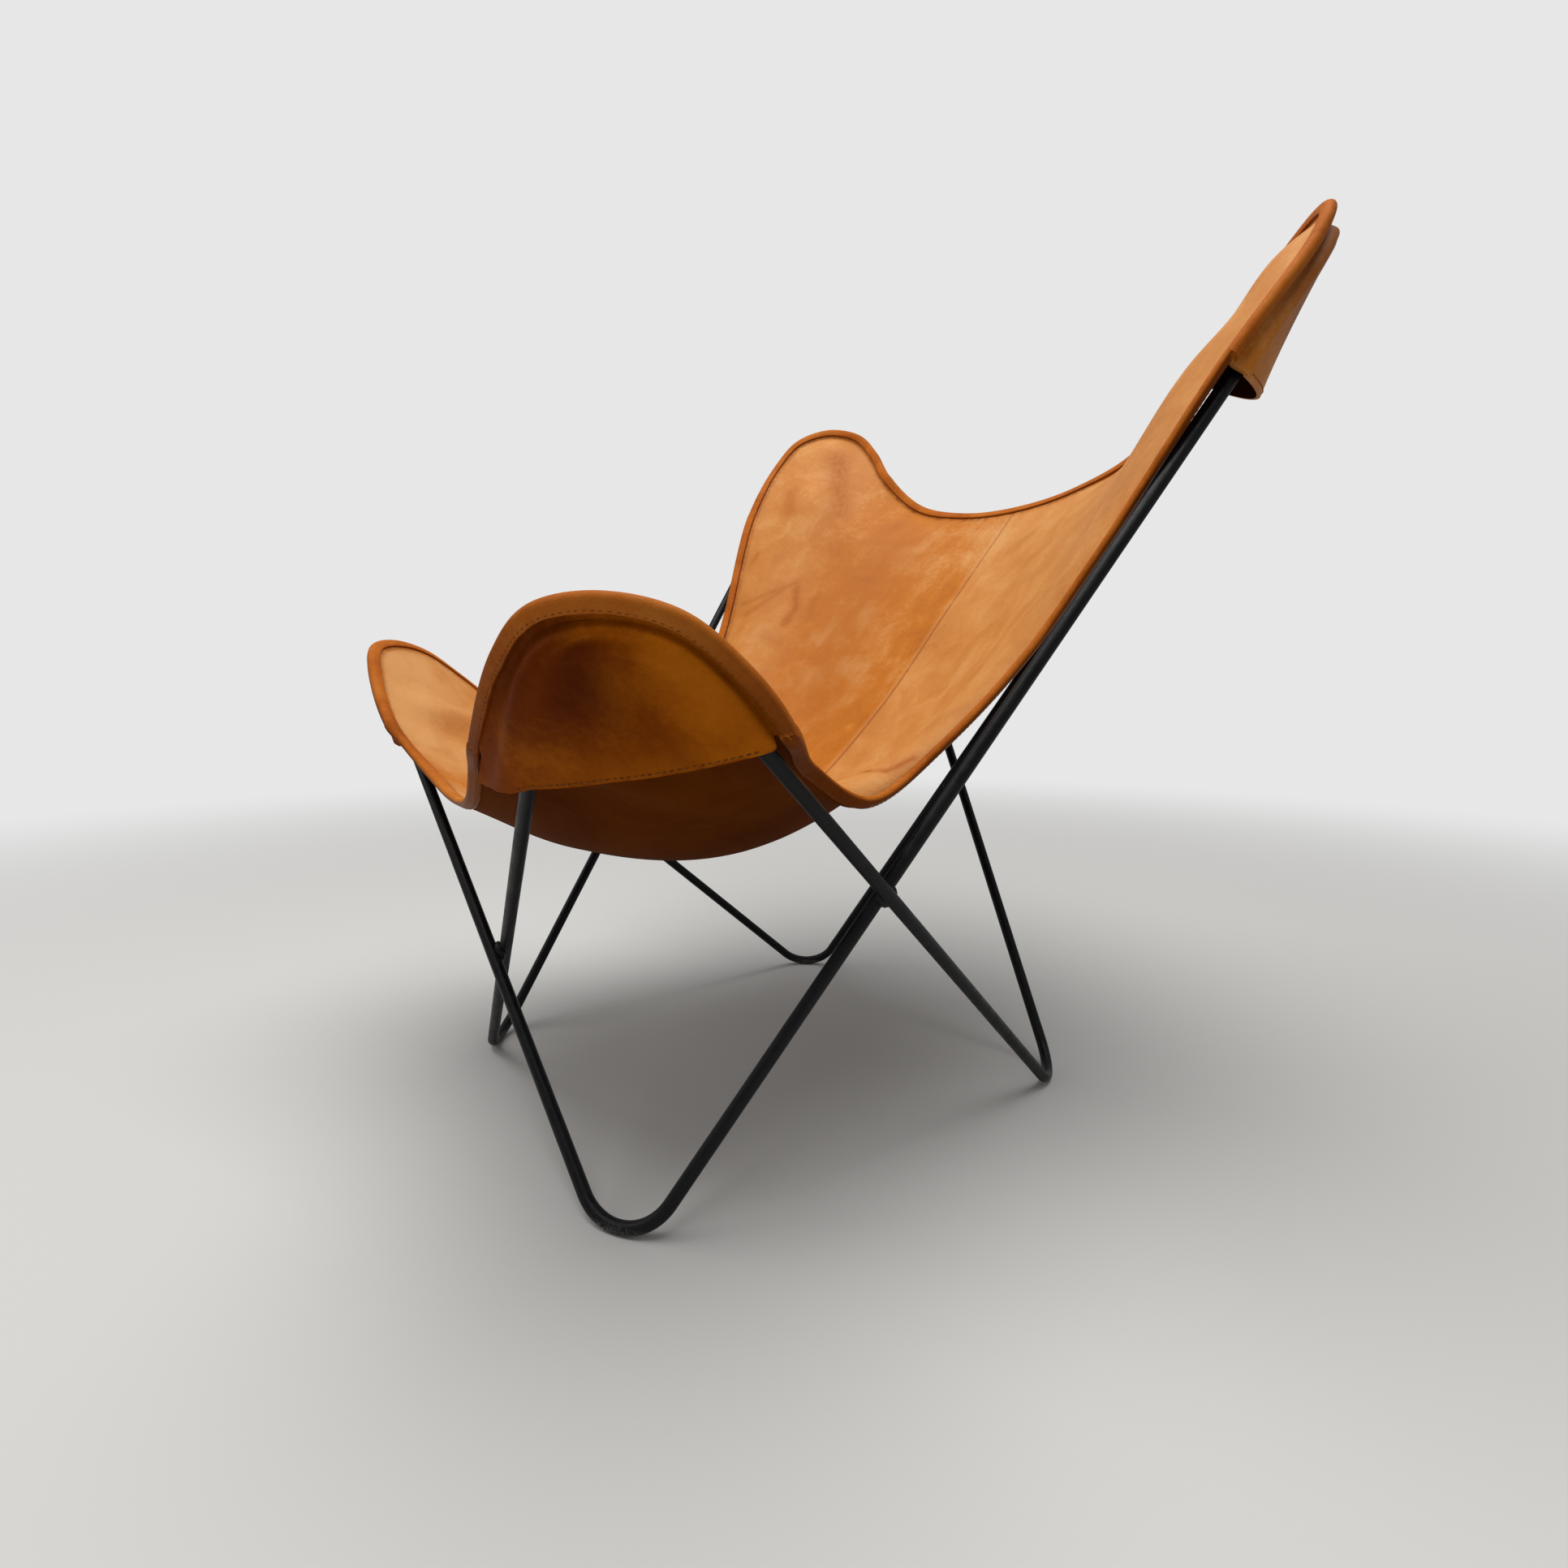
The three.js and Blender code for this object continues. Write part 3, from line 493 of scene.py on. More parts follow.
@dataclass(frozen=True)
class Leather:
    """Vegetable-tanned leather: cloudy colour, smeared places, darker places with painted shade, paler places with
    painted light, pebbled grain and pores.

    The numbers in its recipe are noise scales in waves to the metre, limits of steps, and shares of 1.
    """

    deep: Colour
    tan: Colour
    pale: Colour
    # Colour of darkened places and of painted shade.
    dirt: Colour
    rough: float = 0.5
    shine: float = 0.12
    grain: float = 620.0
    relief: float = 0.00016

    def material(self, name: str) -> bpy.types.Material:
        """Builds the leather: clouds of four sizes, then the mesh's marks of use with its painted light and shade, and
        cells for its grain.
        """
        f = Finish(name)
        cloud = f.noise(4.5, 3, 0.5, 0.4)
        mottle = f.noise(19, 5, 0.6, 0.5)
        fleck = f.noise(150, 4, 0.7)
        streak = f.noise(30, 4, 0.6, 0.6, at=f.stretched(1.0, 0.35, 0.3))
        tone = cloud * 0.34 + mottle * 0.3 + streak * 0.2 + fleck * 0.16
        colour = f.ramp(tone, (0.36, self.deep), (0.5, self.tan), (0.64, self.pale))
        # Paler where the mesh's mark says so: pale wear and painted light.
        colour = f.mix(f.mark("sunned") * (0.7 + 0.6 * mottle.step(0.25, 0.75)), colour, self.pale)
        colour = f.mix(f.mark("smear") * (0.6 + 0.7 * fleck.step(0.3, 0.7)), colour, self.deep)
        # Darker where the mesh's mark says so: darkened places and painted shade.
        handled = f.mark("handled")
        colour = f.mix(handled * (0.55 + 0.5 * mottle), colour, self.dirt)
        jitter = f.node("ShaderNodeTexNoise", {}, {"Vector": f.place, "Scale": 300.0}, "Color")
        jitter = f.node("ShaderNodeVectorMath", {"operation": "SCALE"}, {0: jitter, "Scale": 0.0016})
        pebble = f.cells(self.grain, f.node("ShaderNodeVectorMath", {"operation": "ADD"}, {0: f.place, 1: jitter}))
        pores = f.noise(1500, 2, 0.6).step(0.58, 0.72)
        creases = f.noise(70, 6, 0.7, 1.2)
        colour = f.mix(pores * 0.16, colour, self.deep)
        f.set(Base_Color=colour)
        f.set(Roughness=self.rough + 0.16 * (mottle - 0.5) + 0.12 * pores - 0.1 * handled)
        f.set(Specular_IOR_Level=self.shine)
        f.set(Normal=f.bump(pebble * self.relief + creases * 0.0005 - pores * 0.00006 + f.noise(12, 3) * 0.002))
        return f.material


@dataclass(frozen=True)
class FleshSide:
    """Raw back of the leather: dull, fibrous and browner than the face."""

    dark: Colour
    light: Colour
    rough: float = 0.82
    shine: float = 0.03

    def material(self, name: str) -> bpy.types.Material:
        """Builds the nap: short fibres from stretched noise."""
        f = Finish(name)
        fibre = f.noise(420, 5, 0.75, 1.5, at=f.stretched(1.0, 0.5, 0.7))
        cloud = f.noise(9, 4, 0.6, 0.5)
        f.set(Base_Color=f.ramp(cloud * 0.6 + fibre * 0.4, (0.35, self.dark), (0.65, self.light)))
        f.set(Roughness=self.rough + 0.1 * (fibre - 0.5), Specular_IOR_Level=self.shine)
        f.set(Normal=f.bump(fibre * 0.0004 + cloud * 0.001))
        return f.material


@dataclass(frozen=True)
class WaxedThread:
    """Waxed linen thread with the twist of its plies."""

    light: Colour = (0.24, 0.085, 0.014)
    dark: Colour = (0.1, 0.03, 0.004)
    rough: float = 0.6
    shine: float = 0.1

    def material(self, name: str) -> bpy.types.Material:
        """Builds the thread: plies from fine noise, grime from coarse noise."""
        f = Finish(name)
        grime = f.noise(130, 3, 0.6)
        f.set(Base_Color=f.ramp(grime, (0.35, self.dark), (0.65, self.light)))
        f.set(Roughness=self.rough + 0.2 * (grime - 0.5), Specular_IOR_Level=self.shine)
        f.set(Normal=f.bump(f.noise(2600, 2) * 0.0001))
        return f.material


@dataclass
class Finishes:
    """Every material of the chair."""

    paint: bpy.types.Material
    sling: bpy.types.Material
    pocket: bpy.types.Material
    binding: bpy.types.Material
    back: bpy.types.Material
    thread: bpy.types.Material

    @classmethod
    def make(cls) -> "Finishes":
        """Builds them from their recipes."""
        sling = Leather(
            deep=(0.37, 0.1, 0.004), tan=(0.48, 0.152, 0.012), pale=(0.61, 0.3, 0.1), dirt=(0.17, 0.032, 0.003),
        )
        # Front pockets: darker than the sling's leather, partly their own colour and partly painted shade.
        pocket = Leather(
            deep=(0.13, 0.018, 0.0), tan=(0.24, 0.05, 0.0), pale=(0.45, 0.125, 0.004), dirt=(0.05, 0.003, 0.0),
            shine=0.02,
        )
        binding = Leather(
            deep=(0.24, 0.05, 0.001), tan=(0.42, 0.112, 0.012), pale=(0.5, 0.17, 0.024), dirt=(0.08, 0.012, 0.0),
            rough=0.42, grain=900.0, shine=0.03,
        )
        back = FleshSide(dark=(0.07, 0.012, 0.0), light=(0.13, 0.03, 0.001))
        return cls(
            BlackPaint().material("black_paint"),
            sling.material("sling_leather"),
            pocket.material("pocket_leather"),
            binding.material("binding_leather"),
            back.material("flesh_side"),
            WaxedThread().material("waxed_thread"),
        )


@dataclass(frozen=True)
class Corner:
    """A corner of a rod loop where two straight legs would meet, and the radius of the bend there."""

    x: float
    y: float
    z: float
    bend: float


@dataclass(frozen=True)
class Bend:
    """Round bend between two legs that leave a corner."""

    corner: Array
    leg_a: Array
    leg_b: Array
    radius: float

    @classmethod
    def between(cls, corner: Array, before: Array, after: Array, radius: float) -> "Bend":
        """Bend at a corner of the way from one point to another."""
        return cls(corner, unit(before - corner), unit(after - corner), radius)

    @property
    def half(self) -> float:
        """Half of the angle between the legs."""
        return math.acos(float(np.clip(self.leg_a @ self.leg_b, -1, 1))) / 2

    @property
    def down(self) -> Array:
        """Unit vector from the corner towards the middle between the legs."""
        return unit(self.leg_a + self.leg_b)

    @property
    def across(self) -> Array:
        """Unit vector from the first leg's side to the second's."""
        return unit(self.leg_b - self.leg_a)

    @property
    def centre(self) -> Array:
        """Centre of the arc."""
        return self.corner + self.down * (self.radius / math.sin(self.half))

    @property
    def sweep(self) -> float:
        """Half of the arc's angle."""
        return math.pi / 2 - self.half

    def away(self, turn: Array) -> Array:
        """Unit vectors from the arc's centre: -down cos(turn) + across sin(turn)."""
        turn = np.asarray(turn)[..., None]
        return -np.cos(turn) * self.down + np.sin(turn) * self.across

    def tangent(self, turn: Array) -> Array:
        """Unit vectors along the arc: down sin(turn) + across cos(turn)."""
        turn = np.asarray(turn)[..., None]
        return np.sin(turn) * self.down + np.cos(turn) * self.across

    def point(self, turn: Array) -> Array:
        """Points of the arc."""
        return self.centre + self.radius * self.away(turn)


Loop = dict[str, Array]


@dataclass
class RodFrame:
    """Frame of two bent rod loops that pass each other at the front, the back and both sides."""

    rod: float = 12.0
    front_foot: Corner = Corner(230.0, 0.0, 0.0, 50.0)
    back_foot: Corner = Corner(237.0, 524.0, 0.0, 45.0)
    front_tip: Corner = Corner(375.0, -85.0, 533.0, 60.0)
    back_tip: Corner = Corner(454.0, 711.0, 986.0, 62.0)
    foot_flat: float = 0.5
    crossing_gap: float = 0.4
    bead_reach: float = 10.0
    bead_height: float = 5.5
    bead_ripple: float = 0.05
    bead_waves: Span = (1.5, 9.0)
    bead_girth: float = 10.0
    bead_twist: float = 3.0
    bead_steps: tuple[int, int] = (21, 40)
    bend_steps: int = 40
    leg_steps: int = 24
    rod_sides: int = 36
    foot_rounds: int = 6
    loops: dict[Side, Loop] = field(init=False)

    def __post_init__(self) -> None:
        """Spreads the loops until the side legs clear each other, then shifts them fore and aft likewise."""
        reach = self.rod + self.crossing_gap
        left, right = (self.corners(side, 0, 0) for side in Side)
        side = self.crossing((left["front_foot"], left["back_tip"]), (right["front_tip"], right["back_foot"]))
        spread = (reach - np.sign(side[0][0]) * side[1]) / abs(side[0][0])
        left, right = (self.corners(each, spread, 0) for each in Side)
        lean = [
            abs(self.crossing((left[foot], left[tip]), (right[foot], right[tip]))[0][1])
            for foot, tip in (("front_foot", "front_tip"), ("back_foot", "back_tip"))
        ]
        self.loops = {each: self.corners(each, spread, reach / 2 / min(lean)) for each in Side}

    def corners(self, side: Side, spread: float, shift: float) -> Loop:
        """Corners of the loop whose back tip is on a side, with its feet let down round by round onto the floor.

        Args:
            side: Side of the back tip.
            spread: How far the other side's tip and foot stand out beyond the drawing.
            shift: How far the loop stands forward, on the left, or back, on the right.

        Returns:
            Corner points by name.
        """
        s, y = side.value, -side.value * shift
        loop = {
            "front_foot": np.array([s * self.front_foot.x, self.front_foot.y + y, 0.0]),
            "front_tip": np.array([-s * (self.front_tip.x + spread), self.front_tip.y + y, self.front_tip.z]),
            "back_foot": np.array([-s * (self.back_foot.x + spread), self.back_foot.y + y, 0.0]),
            "back_tip": np.array([s * self.back_tip.x, self.back_tip.y + y, self.back_tip.z]),
        }
        for foot, radius in (("front_foot", self.front_foot.bend), ("back_foot", self.back_foot.bend)):
            for _ in range(self.foot_rounds):
                bend = Bend.between(loop[foot], loop["back_tip"], loop["front_tip"], radius)
                low = bend.centre[2] - radius * math.hypot(bend.down[2], bend.across[2])
                loop[foot][2] += self.rod / 2 - self.foot_flat - low
        return loop

    @staticmethod
    def crossing(p: tuple[Array, Array], q: tuple[Array, Array]) -> tuple[Array, float, Array]:
        """Common normal of two legs, their gap along it, and the middle of the gap."""
        u, w = unit(p[1] - p[0]), unit(q[1] - q[0])
        normal = unit(np.cross(u, w))
        span = q[0] - p[0]
        k = u @ w
        on_p = p[0] + u * ((span @ u - k * (span @ w)) / (1 - k * k))
        on_q = q[0] + w * ((k * (span @ u) - span @ w) / (1 - k * k))
        return normal, float(span @ normal), (on_p + on_q) / 2

    def centre_line(self, loop: Loop) -> tuple[Array, Array]:
        """Points and tangents along a loop: arcs at the corners, and straight legs between them."""
        order = ["front_foot", "front_tip", "back_foot", "back_tip"]
        around = zip(order, order[-1:] + order[:-1], order[1:] + order[:1])
        bends = [Bend.between(loop[at], loop[a], loop[b], getattr(self, at).bend) for at, a, b in around]
        turn = np.linspace(-1, 1, self.bend_steps + 1)
        arcs = [(b.point(turn * b.sweep), b.tangent(turn * b.sweep)) for b in bends]
        share = np.linspace(0, 1, self.leg_steps + 1)[1:-1, None]
        parts = []
        for k in range(4):
            (points, tangents), ahead = arcs[k], arcs[(k + 1) % 4][0][0]
            leg = points[-1] + (ahead - points[-1]) * share
            parts.append((np.vstack([points, leg]), np.vstack([tangents, np.broadcast_to(tangents[-1], leg.shape)])))
        return np.vstack([p for p, _ in parts]), np.vstack([t for _, t in parts])

    def tube(self, loop: Loop) -> Shape:
        """Rod round a loop: circles square to the line, cut off at the floor where the feet have worn flat."""
        points, tangents = self.centre_line(loop)
        side = unit(np.cross(UP, tangents))
        top = np.cross(tangents, side)
        angle = np.linspace(0, 2 * math.pi, self.rod_sides, endpoint=False)[:, None]
        ring = np.cos(angle) * side[:, None] + np.sin(angle) * top[:, None]
        grid = points[:, None] + self.rod / 2 * ring
        grid[..., 2] = np.maximum(grid[..., 2], 0)
        return Shape.sheet(grid, ring=True, loop=True)

    def bead(self, p: tuple[Array, Array], q: tuple[Array, Array], seed: int) -> Shape:
        """Weld bead: a flattened ball in the angle of two rods, its radius rippled like a weld pool.

        Args:
            p: Ends of the first leg.
            q: Ends of the second leg.
            seed: Seed of the ripples.

        Returns:
            The bead.
        """
        normal, _, middle = self.crossing(p, q)
        along = unit(unit(p[1] - p[0]) + unit(q[1] - q[0]))
        beside = np.cross(normal, along)
        rows, columns = self.bead_steps
        lon = np.linspace(0, 2 * math.pi, columns, endpoint=False)
        lat = np.linspace(-math.pi / 2, math.pi / 2, rows)[:, None]
        places = np.cos(lat) * np.cos(lon) * self.bead_girth + lat * self.bead_twist
        swell = 1 + self.bead_ripple * ripple(places, seed, *self.bead_waves)
        out = np.stack([np.cos(lat) * np.cos(lon), np.cos(lat) * np.sin(lon), np.sin(lat) + 0 * lon], -1)
        out = out * swell[..., None] * [self.bead_reach, self.bead_reach, self.bead_height]
        grid = middle + out[..., :1] * along + out[..., 1:2] * beside + out[..., 2:] * normal
        return Shape.sheet(grid, ring=True)

    def build(self, bench: Bench, finishes: Finishes) -> None:
        """Makes the two loops and the four welds."""
        for side, loop in self.loops.items():
            name = f"frame_loop_{side.word}"
            bench.piece(f"rod_{side.word}", self.tube(loop), [finishes.paint], (name,))
        left, right = self.loops[Side.LEFT], self.loops[Side.RIGHT]
        welds = {
            "front": ((left, "front_foot", "front_tip"), (right, "front_foot", "front_tip")),
            "back": ((left, "back_foot", "back_tip"), (right, "back_foot", "back_tip")),
            "left": ((left, "front_foot", "back_tip"), (right, "front_tip", "back_foot")),
            "right": ((right, "front_foot", "back_tip"), (left, "front_tip", "back_foot")),
        }
        for seed, (where, legs) in enumerate(welds.items()):
            p, q = ((loop[a], loop[b]) for loop, a, b in legs)
            bench.piece(f"bead_{where}", self.bead(p, q, seed), [finishes.paint], (f"weld_{where}",))


@dataclass(frozen=True)
class Margin:
    """Rim of the sling beside a rod: reach along the leg, margin outside the rod, lean towards the sitter."""

    reach: float
    margin: float
    lean: float


@dataclass(frozen=True)
class TipRim:
    """Rim round one tip: at the pocket's two ends, at both ends of the bend, and at its top."""

    free: Margin
    free_bend: Margin
    top: Margin
    side_bend: Margin
    side: Margin

    def along(self, turn: float) -> Margin:
        """Rim beside the bend, from -1 where the free leg ends to 1 where the side leg starts."""
        end, top, k = self.free_bend if turn < 0 else self.side_bend, self.top, abs(turn)
        return Margin(0, top.margin + (end.margin - top.margin) * k, top.lean + (end.lean - top.lean) * k)


@dataclass(frozen=True)
class EdgePoint:
    """Point of a free edge, and the way that the leather runs out to it."""

    at: Place
    out: Place


@dataclass(frozen=True)
class Smear:
    """Mark of use on a half of the sling: a stroke along panel places (t, v), darker if depth > 0, else paler."""

    half: Side
    path: tuple[tuple[float, float], ...]
    width: float
    depth: float


SMEARS = (
    Smear(Side.RIGHT, ((0.647, 0.93), (0.662, 0.83), (0.711, 0.65), (0.738, 0.58)), 5.0, 0.6),
    Smear(Side.RIGHT, ((0.63, 0.875), (0.659, 0.774), (0.708, 0.65)), 5.0, 0.55),
    Smear(Side.RIGHT, ((0.735, 0.571), (0.706, 0.536), (0.674, 0.554)), 8.0, 0.85),
    Smear(Side.RIGHT, ((0.762, 0.452), (0.74, 0.47), (0.713, 0.452)), 6.5, 0.6),
    Smear(Side.RIGHT, ((0.735, 0.917), (0.716, 0.935)), 5.0, 0.6),
    Smear(Side.RIGHT, ((0.96, 0.8), (0.892, 0.56)), 24.0, 0.75),
    Smear(Side.RIGHT, ((0.858, 0.875), (0.828, 0.792)), 14.0, 0.6),
    Smear(Side.RIGHT, ((0.627, 0.655), (0.635, 0.565)), 15.0, 0.45),
    Smear(Side.RIGHT, ((0.9, 0.3), (0.72, 0.3), (0.6, 0.25)), 62.0, 0.5),
    Smear(Side.LEFT, ((0.385, 0.8), (0.392, 0.9), (0.417, 0.946)), 3.6, 1.0),
    Smear(Side.LEFT, ((0.64, 0.03), (0.598, 0.113), (0.559, 0.196)), 7.0, -0.6),
    Smear(Side.LEFT, ((0.632, 0.143), (0.64, 0.226)), 14.0, -0.5),
)


@dataclass(frozen=True)
class Fold:
    """Fold of the leather: height in millimetres, then place and width over the panel's rows t and columns v.

    Its middle drifts across the columns by slant for each unit of t.
    """

    height: float
    t: float
    reach: float
    v: float
    width: float
    slant: float = 0.0

    def over(self, t: Array, v: Array) -> Array:
        """Height over the panel: a hump along t times a hump across v."""
        return self.height * hump(v - self.slant * t, self.v, self.width) * hump(t, self.t, self.reach)


WING = Fold(16.0, 0.88, 0.09, 0.66, 0.22)
FOLDS = (
    Fold(8.0, 0.1, 0.13, 0.66, 0.055, 0.25),
    Fold(-7.0, 0.12, 0.12, 0.56, 0.05, 0.25),
    Fold(2.2, 0.38, 0.08, 0.95, 0.05, -0.5),
)


@dataclass(frozen=True)
class StripRun:
    """Strip of binding: its first and last run of the rim, and the layers of leather that it grips.

    The shade is the painted shade on its outer face in the middle and at the ends. An end that rises lies flush with
    the next strip, which grips one layer more.
    """

    first: int
    last: int
    layers: int
    shade: Span
    rises: tuple[bool, bool] = (False, False)


# Shade: painted shade on each strip's outer face, in the middle and at the ends.
STRIPS = {
    "front_edge": StripRun(0, 0, 1, (0.85, 0.85), (False, True)),
    "front_tip": StripRun(1, 2, 2, (0.0, 0.8)),
    "side_edge": StripRun(3, 3, 1, (0.8, 0.95), (True, False)),
    "back_tip": StripRun(4, 5, 2, (0.3, 0.3)),
    "back_edge": StripRun(6, 6, 1, (0.3, 0.3), (True, False)),
}
STRIP_SEED = 20
HEM_SEED = 7


@dataclass(frozen=True)
class WearAndLight:
    """Marks of use, painted light and painted shade on the leather: strengths from 0 to 1, and places in millimetres or
    in shares of the piece.
    """

    # Darker along the rim's border and along the seam.
    rim_dark: float = 0.6
    seam_dark: float = 0.65
    dark_width: float = 1.6
    # Painted light on the panel: a paler front tip, left half and patch of the right half, and a highlight on the
    # seam's ridge.
    tip_reach: float = 0.17
    tip_across: Span = (0.2, 0.5)
    left_light: float = 0.45
    right_light: float = 0.28
    right_across: Span = (0.4, 0.62)
    right_along: Span = (0.3, 0.5)
    ridge_highlight: float = 0.35
    ridge_place: float = 5.0
    ridge_width: float = 3.0
    # Pockets: painted shade across the face, painted light at its other side, the hem and the tip.
    pocket_shade: Span = (0.3, 0.32)
    pocket_edge_dirt: float = 0.7
    pocket_edge: float = 0.3
    pocket_hem_dirt: Span = (0.05, 0.5)
    pocket_tip_dirt: Span = (0.03, 0.16)
    pocket_side_light: float = 0.6
    pocket_side: Span = (0.62, 0.95)
    pocket_side_fade: float = 0.45
    pocket_hem_light: float = 0.45
    pocket_hem_place: Span = (0.55, 0.3)
    pocket_hem: float = 0.35
    pocket_tip_pale: float = 0.25
    pocket_tip: float = 0.8
    # Bindings: painted shade on the outer face, and a darker cut edge on the lip.
    strip_shade_power: float = 1.5
    cut_width: float = 1.5
    cut_dark: float = 0.75


WEAR_AND_LIGHT = WearAndLight()


@dataclass(frozen=True)
class SlingSizes:
    """Sizes of the sling, in millimetres; shares, steps, columns and powers are plain numbers."""

    leather: float = 3.5
    strip: float = 1.6
    sewn_gap: float = 0.35
    lip: float = 10.5
    lap: float = 45.0
    drawn_in: Place = (-4.0, 0.0, 8.0)
    border: float = 14.7
    pocket_clear: float = 10.0
    front_swell: float = 13.0
    back_swell: float = 24.0
    left_corner: float = 26.0
    right_corner: float = -12.0
    crown_share: tuple[float, ...] = (0, 0, 0.45, 1, 0.45, 0, 0)
    crown_drop: float = 6.5
    crown_draw: float = 2.0
    soft_rest: float = 2.0
    wing_fade: Span = (0.12, 0.25)
    fold_margins: tuple[float, ...] = (0.12, 0.18, 0.1, 0.08)
    left_shoulder: float = 13.0
    right_shoulder: float = 7.0
    shoulder_place: Span = (0.05, 0.13)
    shoulder_power: float = 1.6
    seam_gap: float = 0.02
    groove_depth: float = 1.1
    groove_width: float = 1.6
    rise_steps: int = 10
    rise_pull: float = 1.15
    face_steps: int = 34
    bare_end: float = 0.18
    bare_fade: float = 0.08
    swell_power: float = 1.5
    dish: float = 5.0
    dish_power: float = 0.7
    drawn_columns: tuple[int, ...] = (0, 2, 5, 9, 13, 24, 34, 43)
    drawn_down: tuple[float, ...] = (1.45, 1.3, 0.75, 0.15, -0.2, -0.35, -0.2, 0)
    drawn_up: tuple[float, ...] = (0, 0, 0.5, 1, 0.9, 0.3, 0, 0)
    drawn_reach: float = 0.3
    drawn_power: float = 1.5
    roll_steps: int = 15
    lip_steps: int = 9
    lip_crown: float = 0.5
    bevel: float = 0.5
    wander: float = 0.55
    wander_waves: Span = (7.0, 90.0)
    cut_edge: float = 1.0
    inner_fray: float = 0.35
    stitch_inset: float = 3.2
    stitch_sunk: float = 0.05
    front_rim: TipRim = TipRim(
        Margin(238, 50, 18), Margin(0, 36, 9), Margin(0, 26, 3), Margin(0, 27, -4), Margin(190, 26, -4)
    )
    back_rim: TipRim = TipRim(
        Margin(278, 32, 27), Margin(0, 25, 20), Margin(0, 26, 12), Margin(0, 27, 0), Margin(340, 26, 5)
    )
    front_edge: tuple[EdgePoint, ...] = (
        EdgePoint((0, -67, 339), (0, -0.91, 0.41)),
        EdgePoint((75, -71, 350), (-0.05, -0.92, 0.38)),
    )
    side_edge: tuple[EdgePoint, ...] = (
        EdgePoint((305, 132, 384), (0.68, 0.54, 0.46)),
        EdgePoint((286, 205, 352), (0.85, 0.16, 0.5)),
        EdgePoint((288, 285, 386), (0.86, -0.3, 0.42)),
        EdgePoint((316, 378, 484), (0.8, -0.5, 0.33)),
    )
    back_edge: tuple[EdgePoint, ...] = (
        EdgePoint((190, 690, 727), (-0.29, 0.45, 0.84)),
        EdgePoint((100, 696, 700), (-0.1, 0.64, 0.76)),
        EdgePoint((0, 697, 692), (0, 0.62, 0.78)),
    )
    seam: tuple[tuple[float, float], ...] = (
        (40, 285), (150, 262), (240, 270), (330, 310), (450, 412), (575, 553),
    )
    tip_steps: int = 7
    free_steps: int = 7
    side_steps: int = 20
    smoothing: int = 400
    stiffness: float = 0.4
    density: int = 6
    seam_ticks: tuple[float, ...] = (0, 0.02, 0.05, 0.09, 0.15, 0.25, 0.4, 0.6, 0.8)


@dataclass(frozen=True)
class Tip:
    """Rod tip that carries a pocket, on the left half, with the way that points away from the sitter."""

    bend: Bend
    outer: Array

    @classmethod
    def of(cls, corner: Array, free_foot: Array, side_foot: Array, radius: float, sitter: Array) -> "Tip":
        """Tip at a corner, from the free-edge leg to the side leg, mirrored to the left half if need be."""
        flip = np.array([np.sign(corner[0]), 1, 1])
        bend = Bend.between(corner * flip, free_foot * flip, side_foot * flip, radius)
        normal = unit(np.cross(bend.down, bend.across))
        return cls(bend, normal * (1 if (sitter - bend.corner) @ normal < 0 else -1))

    def beside_bend(self, turn: float, margin: float, depth: float) -> Array:
        """Point beside the bend."""
        return self.bend.point(turn) + self.bend.away(turn) * margin + self.outer * depth

    def beside_leg(self, leg: Array, sign: int, reach: float, margin: float, depth: float) -> Array:
        """Point beside a leg; sign is -1 on the first leg and +1 on the second."""
        b = self.bend
        away = b.across * sign * math.cos(b.half) - b.down * math.sin(b.half)
        return b.corner + leg * reach + away * margin + self.outer * depth

    def keys(self, sizes: SlingSizes, rim: TipRim, rest: float, bound_rest: float) -> dict[str, Array]:
        """Key lines round the tip, seven points each: rim, inner line of the border, and pocket over the rod."""

        def line(margin: Any, depth: Any) -> Array:
            """Seven points at a margin and depth that depend on the part of the rim."""
            b = self.bend
            turns = [(k * b.sweep, rim.along(k)) for k in (-1, -0.5, 0, 0.5, 1)]
            bends = [self.beside_bend(turn, margin(part), depth(part)) for turn, part in turns]
            free = self.beside_leg(b.leg_a, -1, rim.free.reach, margin(rim.free), depth(rim.free))
            side = self.beside_leg(b.leg_b, 1, rim.side.reach, margin(rim.side), depth(rim.side))
            return np.array([free, *bends, side])

        def kept(part: Margin) -> float:
            """Share of the rim's stand-off that is left at the inner line of the border."""
            return 1 - sizes.border / math.hypot(part.margin, part.lean)

        over = line(lambda p: sizes.pocket_clear, lambda p: rest)
        crown = np.array(sizes.crown_share)[:, None]
        over = over - crown * (sizes.crown_drop * self.outer + sizes.crown_draw * self.bend.away(0.0))
        return {
            "rim": line(lambda p: p.margin, lambda p: -bound_rest - p.lean),
            "border": line(lambda p: p.margin * kept(p), lambda p: -bound_rest - p.lean * kept(p)),
            "over": over,
        }

    def laid_over(self, points: Array, rest: float, soft: float) -> Array:
        """Lifts points of a pocket until they lie on the rod: depth >= sqrt(rest^2 - gap^2) beside its centre line.

        Args:
            points: Points of the pocket.
            rest: Distance of the pocket's middle from the rod's centre line.
            soft: Softness of the lift d where it starts: (d + sqrt(d^2 + soft^2)) / 2.

        Returns:
            The lifted points.
        """
        b = self.bend
        x, y = (points - b.centre) @ b.across, (b.centre - points) @ b.down
        side = np.sign(x)[..., None] * b.across * math.cos(b.half) - b.down * math.sin(b.half)
        bent = np.abs(np.arctan2(x, y)) <= b.sweep
        gap = np.where(bent, np.abs(np.hypot(x, y) - b.radius), np.abs(dot(points - b.corner, side))[..., 0])
        lift = np.sqrt(np.maximum(rest**2 - gap**2, 0)) - (points - b.corner) @ self.outer
        return points + self.outer * ((lift + np.sqrt(lift**2 + soft**2)) / 2)[..., None]


